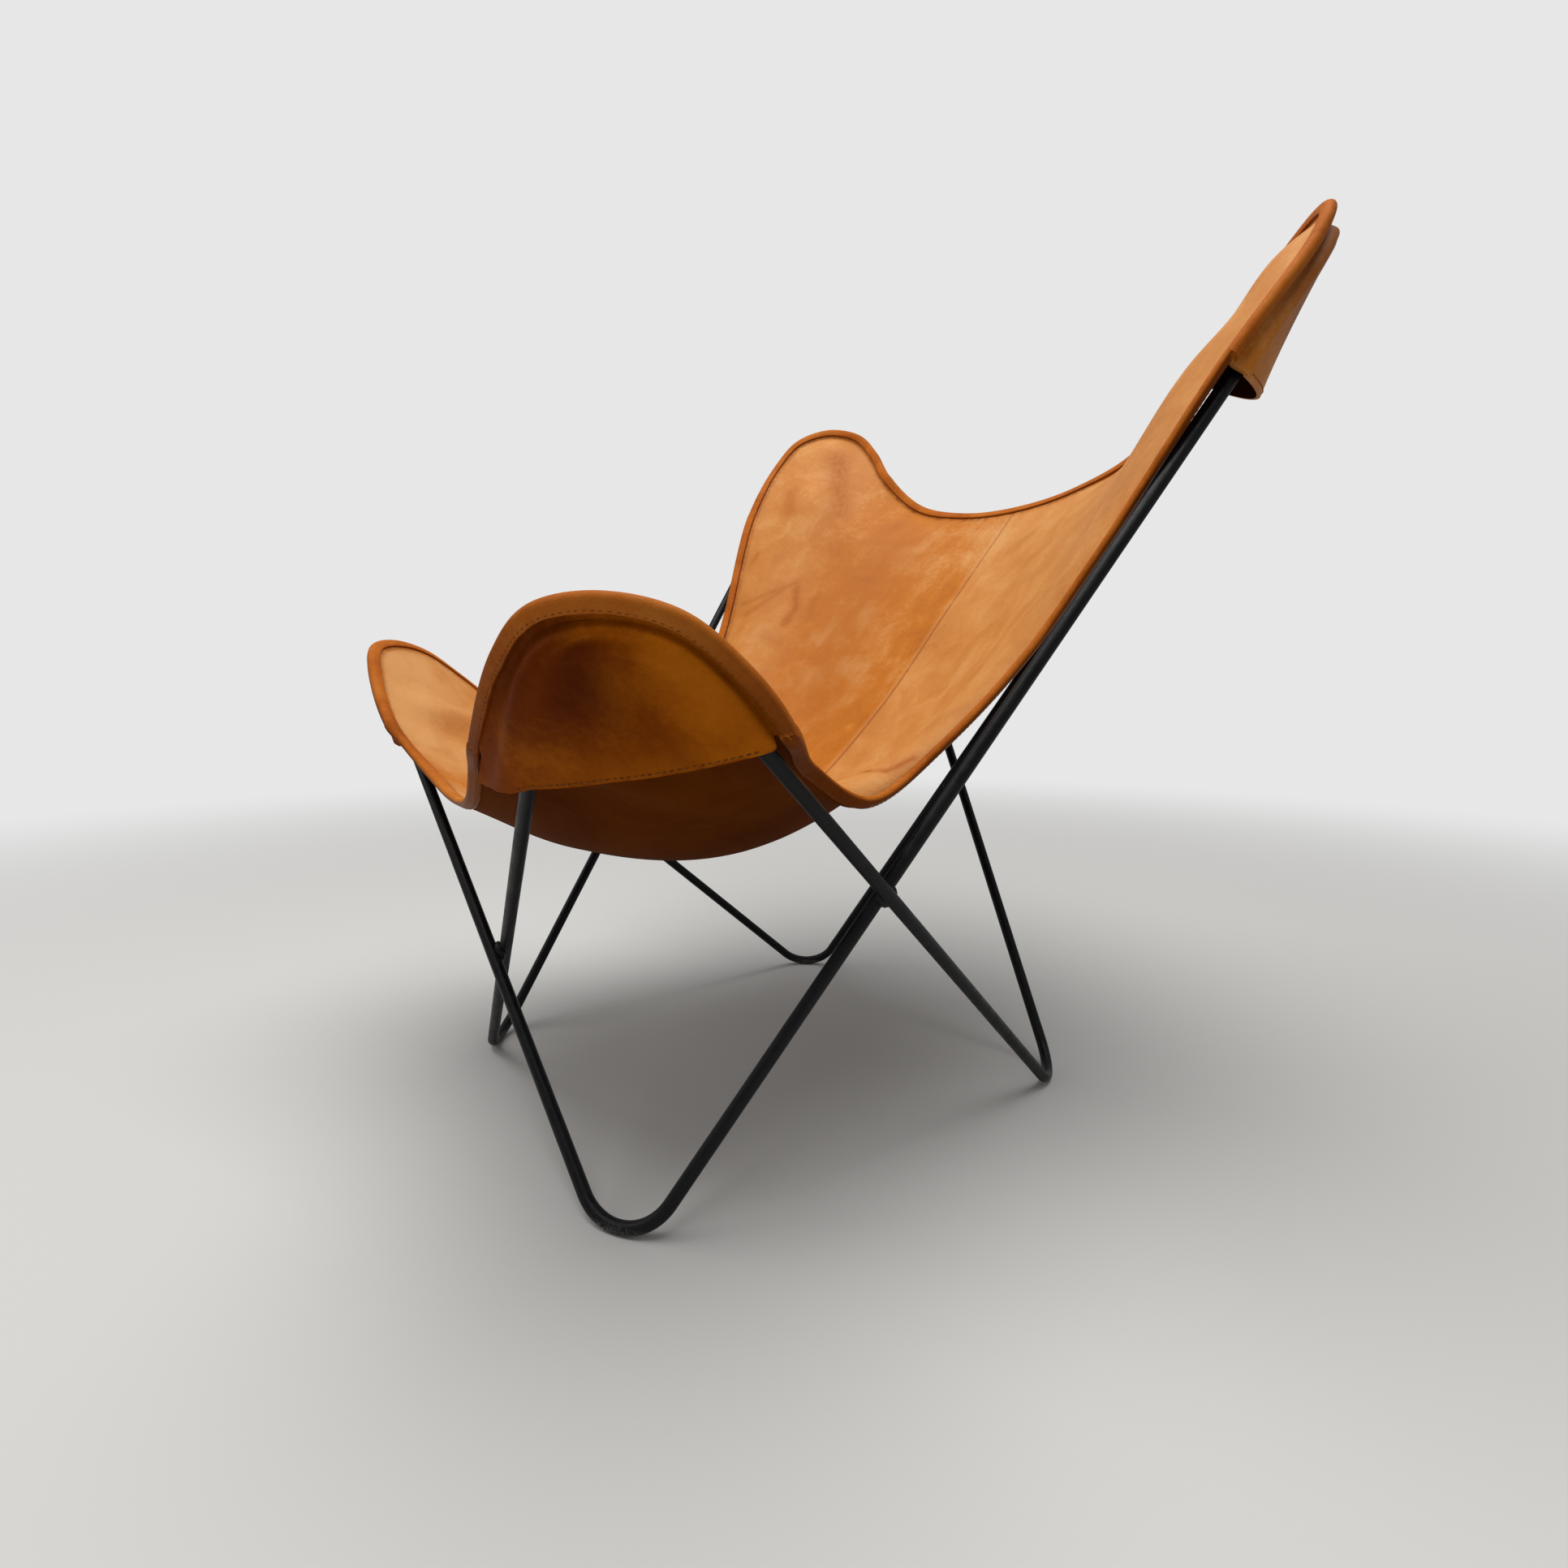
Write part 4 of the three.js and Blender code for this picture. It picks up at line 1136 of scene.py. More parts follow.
@dataclass(frozen=True)
class Rim:
    """Stations round the rim of the left half, from the middle of the front edge to that of the back edge."""

    rim: Array
    border: Array
    out: Array
    tangent: Array
    normal: Array

    def part(self, run: slice) -> "Rim":
        """The stations of a run."""
        return Rim(self.rim[run], self.border[run], self.out[run], self.tangent[run], self.normal[run])


@dataclass
class StitchRow:
    """Row of stitches: short lengths of thread that dip into the leather at both ends."""

    pitch: float = 5.2
    length: float = 4.0
    thread: float = 0.5
    slant: float = 0.16
    slant_spread: float = 0.05
    place_spread: float = 0.08
    bow: float = 0.75
    dip: float = 1.1
    blunt: float = 0.02
    rings: int = 7
    sides: int = 6

    def along(self, line: Array, up: Array, seed: int) -> Shape:
        """Stitches along a line: ellipsoid-like threads, r(s) = sqrt(1 - s^4), bowed by 1 - s^2 over the leather.

        Args:
            line: Points of the line on the leather's face, (n, 3).
            up: Normals of the face, (n, 3).
            seed: Seed of the small differences between stitches.

        Returns:
            All stitches as one shape.
        """
        rng = np.random.default_rng(seed)
        steps = lengths(line)
        count = max(2, int(steps[-1] / self.pitch))
        spread = rng.uniform(-self.place_spread, self.place_spread, count)
        at = (np.arange(count) + 0.5 + spread) * steps[-1] / count
        centre, normal = read_off(at, steps, line), unit(read_off(at, steps, up))
        ahead = read_off(at + 1, steps, line) - read_off(at - 1, steps, line)
        ahead = unit(ahead - normal * dot(ahead, normal))
        beside = np.cross(normal, ahead)
        turn = (self.slant + rng.normal(0, self.slant_spread, count))[:, None]
        ahead, beside = ahead * np.cos(turn) + beside * np.sin(turn), beside * np.cos(turn) - ahead * np.sin(turn)
        s = np.linspace(-1, 1, self.rings)[:, None]
        angle = np.linspace(0, 2 * math.pi, self.sides, endpoint=False)
        radius = self.thread * np.sqrt(np.maximum(1 - s**4, self.blunt))
        local = np.stack([
            self.length / 2 * s + 0 * angle,
            radius * np.cos(angle),
            radius * np.sin(angle) + self.thread * (self.bow - self.dip * s * s),
        ], -1).reshape(-1, 3)
        points = centre[:, None] + local[:, :1] * ahead[:, None] + local[:, 1:2] * beside[:, None]
        points = points + local[:, 2:] * normal[:, None]
        one = Shape.sheet(points[0].reshape(self.rings, self.sides, 3), ring=True)
        size = self.rings * self.sides
        faces = (one.faces[None] + size * np.arange(count)[:, None, None]).reshape(-1, 4)
        return Shape(points.reshape(-1, 3), faces, np.zeros(len(faces), int))


class SlingHalf:
    """One half of the leather sling: panel, two pockets, five runs of binding and their stitches."""

    def __init__(self, side: Side, rods: RodFrame, sizes: SlingSizes) -> None:
        """Lays off the rim from the rods and works out the hung surface."""
        self.side = side
        self.sizes = sizes
        self.rod = rods.rod / 2
        self.rest = self.rod + sizes.sewn_gap + sizes.leather / 2
        self.bound_rest = self.rest + sizes.strip + sizes.sewn_gap
        own, across = rods.loops[side], rods.loops[side.other]
        sitter = np.array([0, (rods.front_tip.y + rods.back_tip.y) / 2, rods.back_tip.z])
        self.front = Tip.of(across["front_tip"], across["front_foot"], across["back_foot"], rods.front_tip.bend, sitter)
        self.back = Tip.of(own["back_tip"], own["back_foot"], own["front_foot"], rods.back_tip.bend, sitter)
        self.front_keys = self.front.keys(sizes, sizes.front_rim, self.rest, self.bound_rest)
        self.back_keys = {
            k: v[::-1] for k, v in self.back.keys(sizes, sizes.back_rim, self.rest, self.bound_rest).items()
        }
        counts = (sizes.free_steps, sizes.tip_steps, sizes.side_steps)
        free, tip, flank = (np.arange(n * sizes.density) / sizes.density for n in counts)
        free = np.concatenate([sizes.seam_ticks, free[free >= 1]])
        last = np.concatenate([[0], (sizes.free_steps - free)[:0:-1]])
        self.ticks = [free, tip, tip, flank, tip, tip, last]
        first = [sizes.free_steps, sizes.tip_steps, sizes.tip_steps]
        self.steps = [*first, sizes.side_steps, *first[::-1]]
        self.starts = np.concatenate([[0], np.cumsum([len(t) for t in self.ticks])])
        self.rim = self.make_rim(self.ticks)
        self.grid, self.rows, self.cols = self.make_surface()

    def keep_off(self, points: Array, rest: Any) -> Array:
        """Moves points towards the sitter until they lie at least rest off the plane of each tip's rod."""
        for tip in (self.front, self.back):
            depth = dot(points - tip.bend.corner, tip.outer)
            points = points + tip.outer * np.minimum(0, -rest - depth)
        return points

    def make_rim(self, ticks: list[Array]) -> Rim:
        """Stations at given ticks of the seven runs between the rim's main points.

        Args:
            ticks: For each run, places of its stations in steps of the run.

        Returns:
            The rim, its border and its directions at each station.
        """
        s = self.sizes
        edges = {}
        for name, edge in (("front", s.front_edge), ("side", s.side_edge), ("back", s.back_edge)):
            rim = np.array([p.at for p in edge], float)
            # The left half hangs tauter beside the long rod than the right one.
            if name == "side" and self.side is Side.LEFT:
                rim[2:] += s.drawn_in
            edges[name] = {"rim": rim, "border": rim - unit(np.array([p.out for p in edge], float)) * s.border}
        lines = {}
        for key in ("rim", "border"):
            half = np.vstack([
                edges["front"][key], self.front_keys[key], edges["side"][key], self.back_keys[key], edges["back"][key],
            ])
            lines[key] = np.vstack([half[1] * MIRROR, half, half[-2] * MIRROR])
        marks = np.cumsum([1, len(s.front_edge), 3, 3, len(s.side_edge) + 1, 3, 3, len(s.back_edge)])
        places = [
            even_places(lines["rim"], marks[k], marks[k + 1], ticks[k] / self.steps[k]) for k in range(len(ticks))
        ]
        places = np.concatenate([*places, [marks[-1] / (len(lines["rim"]) - 1)]])
        past = [np.zeros(len(t)) for t in ticks]
        past[0], past[6] = self.steps[0] - ticks[0], ticks[6]
        past[3] = np.minimum(ticks[3], self.steps[3] - ticks[3])
        free = ease(np.append(np.concatenate(past), 1.0), 0, 1)[:, None]
        rim = self.keep_off(centripetal(lines["rim"], places), self.rod + (self.bound_rest - self.rod) * free)
        border = self.keep_off(centripetal(lines["border"], places), self.rest)
        tangent = np.empty_like(rim)
        tangent[1:-1] = unit(rim[2:] - rim[:-2])
        tangent[0], tangent[-1] = (1, 0, 0), (-1, 0, 0)
        out = unit(rim - border)
        out = unit(out - tangent * dot(out, tangent))
        return Rim(rim, rim - out * s.border, out, tangent, np.cross(tangent, out))

    def hung_surface(self) -> Array:
        """Middle surface on a coarse grid: blended from its four sides with a rounded hollow, then smoothed.

        Each round adds the plate term -k L(L(x)), with L the mean of the four neighbours less the point. At the end
        the wing beside the back tip stands out by its fold, faded towards the back edge and the side.
        """
        s = self.sizes
        coarse = self.make_rim([np.arange(n) for n in self.steps])
        nv, nt = s.free_steps + s.tip_steps, 2 * s.tip_steps + s.side_steps
        front, side, back = coarse.border[: nv + 1], coarse.border[nv : nv + nt + 1], coarse.border[nv + nt :][::-1]
        seam_keys = np.vstack([front[:1], [(0, y, z) for y, z in s.seam], back[:1]])
        share = np.linspace(0, 1, nt + 1)
        seam = centripetal(seam_keys, even_places(seam_keys, 0, len(seam_keys) - 1, share))
        t = share[:, None, None]
        v = np.linspace(0, 1, nv + 1)[None, :, None]
        bow = np.concatenate([v, v, v * v * (2 - v)], -1)
        ruled = seam[:, None] * (1 - bow) + side[:, None] * bow
        ends = front[None] * (1 - t) + back[None] * t
        corners = (front[0] * (1 - bow) + front[-1] * bow) * (1 - t) + (back[0] * (1 - bow) + back[-1] * bow) * t
        grid = ruled + ends - corners

        def pull(cells: Array) -> Array:
            """Mean of the four neighbours less the point, with the other half mirrored beyond the seam."""
            wide = np.concatenate([cells[:, 1:2] * MIRROR, cells], 1)
            mean = np.zeros_like(cells)
            around = wide[1:-1, :-2] + wide[1:-1, 2:] + cells[:-2, :-1] + cells[2:, :-1]
            mean[1:-1, :-1] = around / 4 - cells[1:-1, :-1]
            return mean

        for _ in range(s.smoothing):
            step = -s.stiffness * pull(pull(grid))
            grid[1:-1, 1:-1] = self.keep_off(grid[1:-1, 1:-1] + step[1:-1, 1:-1], self.rest)
        wing = WING.over(t, v) * np.minimum(1, (1 - t) / s.wing_fade[0]) ** 2
        return grid - surface_normals(grid) * wing * np.minimum(1, (1 - v) / s.wing_fade[1])

    def make_surface(self) -> tuple[Array, Array, Array]:
        """Fine middle surface: the coarse one through splines, drawn onto the fine border, with its folds.

        Returns:
            The grid, and the places of its rows and columns from 0 to 1.
        """
        s = self.sizes
        coarse = self.hung_surface()
        rows = np.concatenate([self.ticks[2], s.tip_steps + self.ticks[3], s.tip_steps + s.side_steps + self.ticks[4]])
        rows = np.append(rows, coarse.shape[0] - 1)
        cols = np.append(np.concatenate([self.ticks[0], s.free_steps + self.ticks[1]]), coarse.shape[1] - 1)
        spare = 3
        wide = np.concatenate([coarse[:, spare:0:-1] * MIRROR, coarse], 1)
        across = spline_weights(wide.shape[1], cols + spare)
        ahead = spline_weights(coarse.shape[0], rows)
        grid = np.einsum("ri,cj,ijk->rck", ahead, across, wide)
        nv, nt = len(cols) - 1, len(rows) - 1
        front = self.rim.border[: nv + 1] - grid[0]
        side = self.rim.border[nv : nv + nt + 1] - grid[:, -1]
        back = self.rim.border[nv + nt :][::-1] - grid[-1]
        t, v = rows[:, None] / rows[-1], cols[None] / cols[-1]
        tt, vv = t[..., None], v[..., None]
        grid += vv * side[:, None] + (1 - tt) * front[None] + tt * back[None]
        grid -= vv * ((1 - tt) * front[-1] + tt * back[-1])
        return grid, rows / rows[-1], cols / cols[-1]

    def folds(self) -> Array:
        """Height of the drape folds towards the sitter, in millimetres, over rows t and columns v."""
        s = self.sizes
        t, v = self.rows[:, None], self.cols[None]
        seam, side, front, back = s.fold_margins
        free = ease(v, 0, seam) * ease(1 - v, 0, side) * ease(t, 0, front) * ease(1 - t, 0, back)
        # The shoulder beside the back tip is highest where a = b = 1.
        a, b = (1 - t) / s.shoulder_place[0], (1 - v) / s.shoulder_place[1]
        shoulder = self.side.pick(s.left_shoulder, s.right_shoulder)
        shoulder = shoulder * (a * np.exp(1 - a) * b * np.exp(1 - b)) ** s.shoulder_power
        return free * sum(fold.over(t, v) for fold in FOLDS) + shoulder

    def smeared(self, points: Array, sign: int) -> Array:
        """Strength of the dark (sign 1) or pale (-1) smears: depth exp(-(gap / width)^2), gap to the stroke's line."""
        total = np.zeros(points.shape[:2])
        for smear in SMEARS:
            if smear.half is not self.side or smear.depth * sign < 0:
                continue
            path = [points[np.abs(self.rows - t).argmin(), np.abs(self.cols - v).argmin()] for t, v in smear.path]
            for a, b in zip(path[:-1], path[1:]):
                share = np.clip((points - a) @ (b - a) / ((b - a) @ (b - a)), 0, 1)[..., None]
                gap = np.linalg.norm(points - a - share * (b - a), axis=-1)
                total = np.maximum(total, abs(smear.depth) * hump(gap, 0, smear.width))
        return total

    def panel(self) -> Shape:
        """Closed leather panel: the surface and its border, with the seam edge turned down into a groove."""
        s = self.sizes
        normal = surface_normals(self.grid)
        normal[:, 0] = unit(normal[:, 0] * [0, 1, 1])
        grid = self.grid - normal * self.folds()[..., None]
        seam_gap = np.abs(grid[..., :1])
        grid = grid + normal * s.groove_depth * np.exp(-seam_gap / s.groove_width)
        face, back = grid - normal * s.leather / 2, grid + normal * s.leather / 2
        for side in (face, back):
            side[:, 0, 0] = s.seam_gap
            side[..., 0] = np.maximum(side[..., 0], s.seam_gap)
        nv, nt = len(self.cols) - 1, len(self.rows) - 1
        i = np.concatenate([np.zeros(nv, int), np.arange(nt), np.full(nv + 1, nt)])
        j = np.concatenate([np.arange(nv), np.full(nt, nv), np.arange(nv, -1, -1)])
        r = self.rim
        lip_face, lip_back = r.rim - r.normal * s.leather / 2, r.rim + r.normal * s.leather / 2
        return Shape.joined([
            Shape.sheet(face, 0, True, **self.panel_marks(grid, seam_gap[..., 0])),
            Shape.sheet(back, 1, False),
            Shape.sheet(np.stack([face[i, j], lip_face]), 0, True),
            Shape.sheet(np.stack([back[i, j], lip_back]), 1, False),
            Shape.sheet(np.stack([lip_face, lip_back]), 1, True),
            Shape.sheet(np.stack([face[:, 0], back[:, 0]]), 1, False),
        ])

    def panel_marks(self, grid: Array, seam_gap: Array) -> dict[str, Array]:
        """Marks on the panel: darker along rim and seam, painted light that makes the front tip, the left half, a patch
        of the right half and the seam's ridge paler, and the smears.

        Args:
            grid: Points of the panel.
            seam_gap: Their distances from the seam.

        Returns:
            Values by the mark's name.
        """
        w = WEAR_AND_LIGHT
        # Darker along the rim's border and along the seam.
        handled = w.rim_dark * np.exp(-np.maximum(self.rim_distance(grid) - self.sizes.border, 0) / w.dark_width)
        handled = np.maximum(handled, w.seam_dark * hump(seam_gap, 0, w.dark_width))
        # Painted light: a paler front tip, the whole left half paler but only a patch of the right half, and a
        # highlight on the seam's ridge; the pale smears are wear.
        t, v = self.rows[:, None], self.cols[None]
        tip = hump(t, 0, w.tip_reach) * ease(v, *w.tip_across)
        wide = self.side.pick(w.left_light, w.right_light * ease(v, *w.right_across) * ease(t, *w.right_along))
        sunned = np.maximum(tip + wide * (1 - tip), w.ridge_highlight * hump(seam_gap, w.ridge_place, w.ridge_width))
        sunned = np.maximum(sunned, self.smeared(grid, -1))
        return {"handled": handled, "sunned": sunned, "smear": self.smeared(grid, 1)}

    def rim_distance(self, points: Array) -> Array:
        """Distance of points from the rim, in millimetres."""
        rim = self.rim.rim[::2]
        flat = points.reshape(-1, 3)
        square = (flat**2).sum(1)[:, None] - 2 * flat @ rim.T + (rim**2).sum(1)[None]
        return np.sqrt(np.maximum(square.min(1), 0)).reshape(points.shape[:-1])

    def pocket(
        self, tip: Tip, keys: dict[str, Array], runs: tuple[int, int], sag: float, corner: float
    ) -> tuple[Shape, Array, Array]:
        """Pocket over a tip: sewn along the rim, it rises over the rod and runs flat across to the other leg.

        Args:
            tip: Rod tip inside the pocket.
            keys: Key lines of the tip.
            runs: The two rim runs that the pocket is sewn along.
            sag: How far the hem stands out from a straight line between the legs.
            corner: How far the hem's first corner is drawn along the leg.

        Returns:
            The closed shape, and the points and normals of a line along the hem, from rim to rim.
        """
        s = self.sizes
        first, last = self.starts[runs[0]], self.starts[runs[1] + 1]
        r = self.rim.part(slice(first, last + 1))
        half = (last - first) // 2
        share = np.linspace(0, 1, half + 1)
        over = centripetal(keys["over"], np.concatenate([
            even_places(keys["over"], 0, 3, share[:-1]), even_places(keys["over"], 3, 6, share)
        ]))
        lift = s.leather + s.sewn_gap
        sewn, turned = r.rim + r.normal * lift, r.border + r.normal * lift
        inward = -unit(r.out - tip.outer * (r.out @ tip.outer)[:, None])
        pull = s.rise_pull * np.linalg.norm(over - turned, axis=1, keepdims=True)
        start = unit(unit(turned - sewn) + unit(over - turned))
        k = np.linspace(0, 1, s.rise_steps)[:, None, None]
        # Each line up from the rim is a cubic that leaves along start and comes over the rod along inward.
        rise = (
            (2 * k**3 - 3 * k**2 + 1) * turned + (k**3 - 2 * k**2 + k) * pull * start
            + (3 * k**2 - 2 * k**3) * over + (k**3 - k**2) * pull * inward
        )
        rise[-1] = tip.laid_over(rise[-1], self.rest, s.soft_rest)
        strip = np.concatenate([sewn[None], rise], 0).transpose(1, 0, 2)
        near, far = strip[: half + 1].copy(), strip[half:][::-1]
        # A corner that is drawn down comes out from under the binding's lip.
        if corner > 0:
            near[:, 0] -= r.out[: half + 1] * np.clip((s.bare_end - share) / s.bare_fade, 0, 1)[:, None] * s.lip
        w = np.linspace(0, 1, s.face_steps)[1:-1][None, :, None]
        j = np.linspace(0, 1, half + 1)[:, None, None]
        swell = sag * 4 * w * (1 - w) * (1 - j) ** s.swell_power
        swell = swell - s.dish * np.sin(math.pi * w) ** s.dish_power * j * (1 - j) * 2
        flat = near[:, -1:] * (1 - w) + far[:, -1:] * w
        face = tip.laid_over(flat + tip.outer * swell, self.rest, s.soft_rest)
        sheet = np.concatenate([near, face, far[:, ::-1]], 1)
        columns = np.arange(sheet.shape[1])
        drawn = np.interp(columns, s.drawn_columns, s.drawn_down if corner > 0 else s.drawn_up)[:, None]
        sheet += corner * np.maximum(1 - j / s.drawn_reach, 0) ** s.drawn_power * drawn * tip.bend.leg_a
        normal = -surface_normals(sheet)
        normal[-1] = unit(normal[-2] + normal[-2, ::-1])
        normal *= np.sign(dot(normal, tip.outer).mean())
        outer, inner = sheet + normal * s.leather / 2, sheet - normal * s.leather / 2
        across = np.clip((columns - s.rise_steps) / (s.face_steps - 1), 0, 1)[None]
        shape = Shape.joined([
            Shape.sheet(outer, 0, False, **self.pocket_marks(across, j[..., 0])),
            Shape.sheet(inner, 1, True),
            Shape.sheet(np.stack([outer[0], inner[0]]), 0, True),
            Shape.sheet(np.stack([outer[:, 0], inner[:, 0]]), 0, False),
            Shape.sheet(np.stack([outer[:, -1], inner[:, -1]]), 0, True),
        ])
        return shape, outer[1], normal[1]

    @staticmethod
    def pocket_marks(u: Array, j: Array) -> dict[str, Array]:
        """Painted shade and light on a pocket: painted shade towards its first side, painted light at the hem, the tip
        and its other side.

        Args:
            u: Shares of the way across the face, from its first side.
            j: Shares of the way from the hem to the tip.

        Returns:
            Values by the mark's name.
        """
        w = WEAR_AND_LIGHT
        # Painted shade of the dished face, darkest about a third of the way across from its first side, fading out at
        # the hem and the tip.
        handled = np.maximum(hump(u, *w.pocket_shade), w.pocket_edge_dirt * ease(w.pocket_edge - u, 0, w.pocket_edge))
        handled = handled * ease(j, *w.pocket_hem_dirt) * ease(1 - j, *w.pocket_tip_dirt)
        # Painted light at its other side, at the hem and at the tip.
        sunned = w.pocket_side_light * ease(u, *w.pocket_side) * ease(1 - j, 0, w.pocket_side_fade)
        sunned = sunned + w.pocket_hem_light * hump(u, *w.pocket_hem_place) * ease(w.pocket_hem - j, 0, w.pocket_hem)
        sunned = sunned + w.pocket_tip_pale * ease(j, w.pocket_tip, 1)
        return {"handled": handled, "sunned": sunned}

    def binding(self, strip: StripRun, seed: int) -> tuple[Shape, Array, Array]:
        """Binding strip folded round the rim: a rolled edge with a lip on each face.

        Args:
            strip: Runs of the rim that it covers, and how it lies there.
            seed: Seed of the wander of its cut edge.

        Returns:
            The closed shape, and the points and normals of its stitch line on the outer face.
        """
        s = self.sizes
        r = self.rim.part(slice(self.starts[strip.first], self.starts[strip.last + 1] + 1))
        layer = s.leather + s.sewn_gap
        low = -s.leather / 2 - s.sewn_gap
        high = s.leather / 2 + (strip.layers - 1) * layer + s.sewn_gap
        roll, middle = (high - low) / 2 + s.strip, (high + low) / 2
        nose = s.sewn_gap + s.strip - roll
        angle = np.linspace(-math.pi / 2, math.pi / 2, s.roll_steps)
        arc = np.stack([nose + roll * np.cos(angle), middle + roll * np.sin(angle)], -1)
        flat = np.linspace(-s.lip, nose, s.lip_steps)[:-1]
        crown = s.lip_crown * np.sin(np.linspace(0, math.pi, s.lip_steps)[:-1])
        lower = np.stack([flat, low - s.strip - crown], -1)
        upper = np.stack([flat, high + s.strip + crown], -1)[::-1]
        lower[0] += (s.bevel, s.bevel)
        upper[-1] += (s.bevel, -s.bevel)
        inside = np.array([(-s.lip, high), (s.sewn_gap, high), (s.sewn_gap, low), (-s.lip, low)])
        profile = np.vstack([lower, arc, upper, inside])
        length = lengths(r.rim)
        wander = s.wander * ripple(length, seed, *s.wander_waves)
        fray = np.where(profile[:, 0] < -s.lip + s.cut_edge, 1.0, 0.0)
        fray = fray * np.where(profile[:, 1] > middle, 1.0, s.inner_fray)
        out = profile[None, :, 0] + wander[:, None] * fray
        start, end = strip.rises
        lift = start * ease(s.lap - length, 0, s.lap) + end * ease(length, length[-1] - s.lap, length[-1])
        lift = (lift * layer)[:, None]
        up = profile[None, :, 1] + lift * np.clip((profile[:, 1] - low) / (high - low), 0, 1)
        grid = r.rim[:, None] + out[..., None] * r.out[:, None] + up[..., None] * r.normal[:, None]
        grid[0] += r.tangent[0] * s.sewn_gap / 2
        grid[-1] -= r.tangent[-1] * s.sewn_gap / 2
        # Painted shade on the outer face, from the strip's middle shade to its end shade; the lip's cut edge is darker
        # too.
        dark = np.interp(np.abs(2 * length / length[-1] - 1) ** WEAR_AND_LIGHT.strip_shade_power, (0, 1), strip.shade)[:, None]
        cut = np.where(profile[:, 0] < -s.lip + WEAR_AND_LIGHT.cut_width, WEAR_AND_LIGHT.cut_dark, 0.0)
        handled = np.maximum(cut, dark * ease(profile[:, 1], middle, high))
        caps = [self.cap(grid[0], True), self.cap(grid[-1], False)]
        shape = Shape.joined([Shape.sheet(grid, 0, ring=True, handled=handled), *caps])
        top = high + s.strip - s.stitch_sunk
        return shape, r.rim - r.out * (s.lip - s.stitch_inset) + r.normal * (top + lift), r.normal

    @staticmethod
    def cap(ring: Array, flip: bool) -> Shape:
        """End of a binding strip: quads between the outer contour and the inner fold."""
        outer, inner = ring[:-4], ring[-4:][::-1]
        fold = lengths(inner)
        follow = read_off(np.linspace(0, 1, len(outer)) * fold[-1], fold, inner)
        return Shape.sheet(np.stack([outer, follow]), 0, flip)

    def build(self, bench: Bench, finishes: Finishes) -> None:
        """Makes the half's pieces."""
        s, word = self.sizes, self.side.word
        stitches = StitchRow()
        rows: list[Shape] = []
        for seed, (name, strip) in enumerate(STRIPS.items()):
            shape, line, up = self.binding(strip, seed + 10 * self.side.value + STRIP_SEED)
            bench.piece(
                f"strip_{name}_{word}", shape.on(self.side), [finishes.binding],
                (f"binding_{name}_{word}",),
            )
            rows.append(stitches.along(line, up, seed))
        drawn = self.side.pick(s.left_corner, s.right_corner)
        pockets = {
            "front": (self.front, self.front_keys, (1, 2), s.front_swell, drawn),
            "back": (self.back, self.back_keys, (4, 5), s.back_swell, 0.0),
        }
        on_face = slice(s.rise_steps + 1, -s.rise_steps - 1)
        for seed, (name, (tip, keys, at, sag, corner)) in enumerate(pockets.items(), HEM_SEED):
            shape, hem, up = self.pocket(tip, keys, at, sag, corner)
            # The front pockets take the darker pocket leather, partly painted shade; the back ones take the sling's.
            face = finishes.pocket if name == "front" else finishes.sling
            made = bench.piece(
                f"flap_{name}_{word}", shape.on(self.side), [face, finishes.back],
                (f"pocket_{name}_{word}",),
            )
            rows.append(stitches.along(hem[on_face], up[on_face], seed))
        thread = bench.piece(f"thread_{word}", Shape.joined(rows).on(self.side), [finishes.thread])
        panel = bench.piece(
            f"panel_{word}", self.panel().on(self.side), [finishes.sling, finishes.back],
            (f"sling_panel_{word}",), 40.0,
        )


@dataclass(frozen=True)
class PhotoView:
    """Camera of the photograph, in the drawing: place in millimetres, turns in degrees, focus in image pixels."""

    place: Place = (799.41, -223.94, 447.19)
    yaw: float = 33.484
    pitch: float = -7.044
    roll: float = 0.068
    focus: float = 996.81
    image: float = 1932.0
    sensor: float = 36.0
    near: float = 0.01

    def build(self, bench: Bench) -> None:
        """Makes the camera and makes it the scene's."""
        yaw, pitch, roll = (math.radians(a) for a in (self.yaw, self.pitch, self.roll))
        ahead = np.array([-math.cos(yaw) * math.cos(pitch), math.sin(yaw) * math.cos(pitch), math.sin(pitch)])
        right = unit(np.cross(ahead, UP))
        top = np.cross(right, ahead)
        right, top = right * math.cos(roll) + top * math.sin(roll), top * math.cos(roll) - right * math.sin(roll)
        data = bpy.data.cameras.new("photo_view")
        data.sensor_width = self.sensor
        data.lens = self.focus * self.sensor / self.image
        data.clip_start = self.near
        camera = placed("photo_view", data)
        turn = Matrix(np.stack([right, top, -ahead], -1).tolist()).to_4x4()
        camera.matrix_world = Matrix.Translation((np.array(self.place) + bench.shift) * MM) @ turn
        bpy.context.scene.camera = camera


@dataclass(frozen=True)
class SoftBox:
    """Square soft lamp: place, size and aim in metres, power in watts."""

    name: str
    place: Place
    size: float
    power: float
    aim: Place = (0.0, 0.0, 0.45)

    def build(self) -> None:
        """Makes the lamp and points its -Z at the aim."""
        data = bpy.data.lights.new(self.name, "AREA")
        data.size, data.energy = self.size, self.power
        lamp = placed(self.name, data)
        lamp.location = self.place
        back = unit(np.array(self.place) - np.array(self.aim))
        right = unit(np.cross(UP, back) + np.array([1e-6, 0, 0]))
        lamp.rotation_euler = Matrix(np.stack([right, np.cross(back, right), back], -1).tolist()).to_euler()


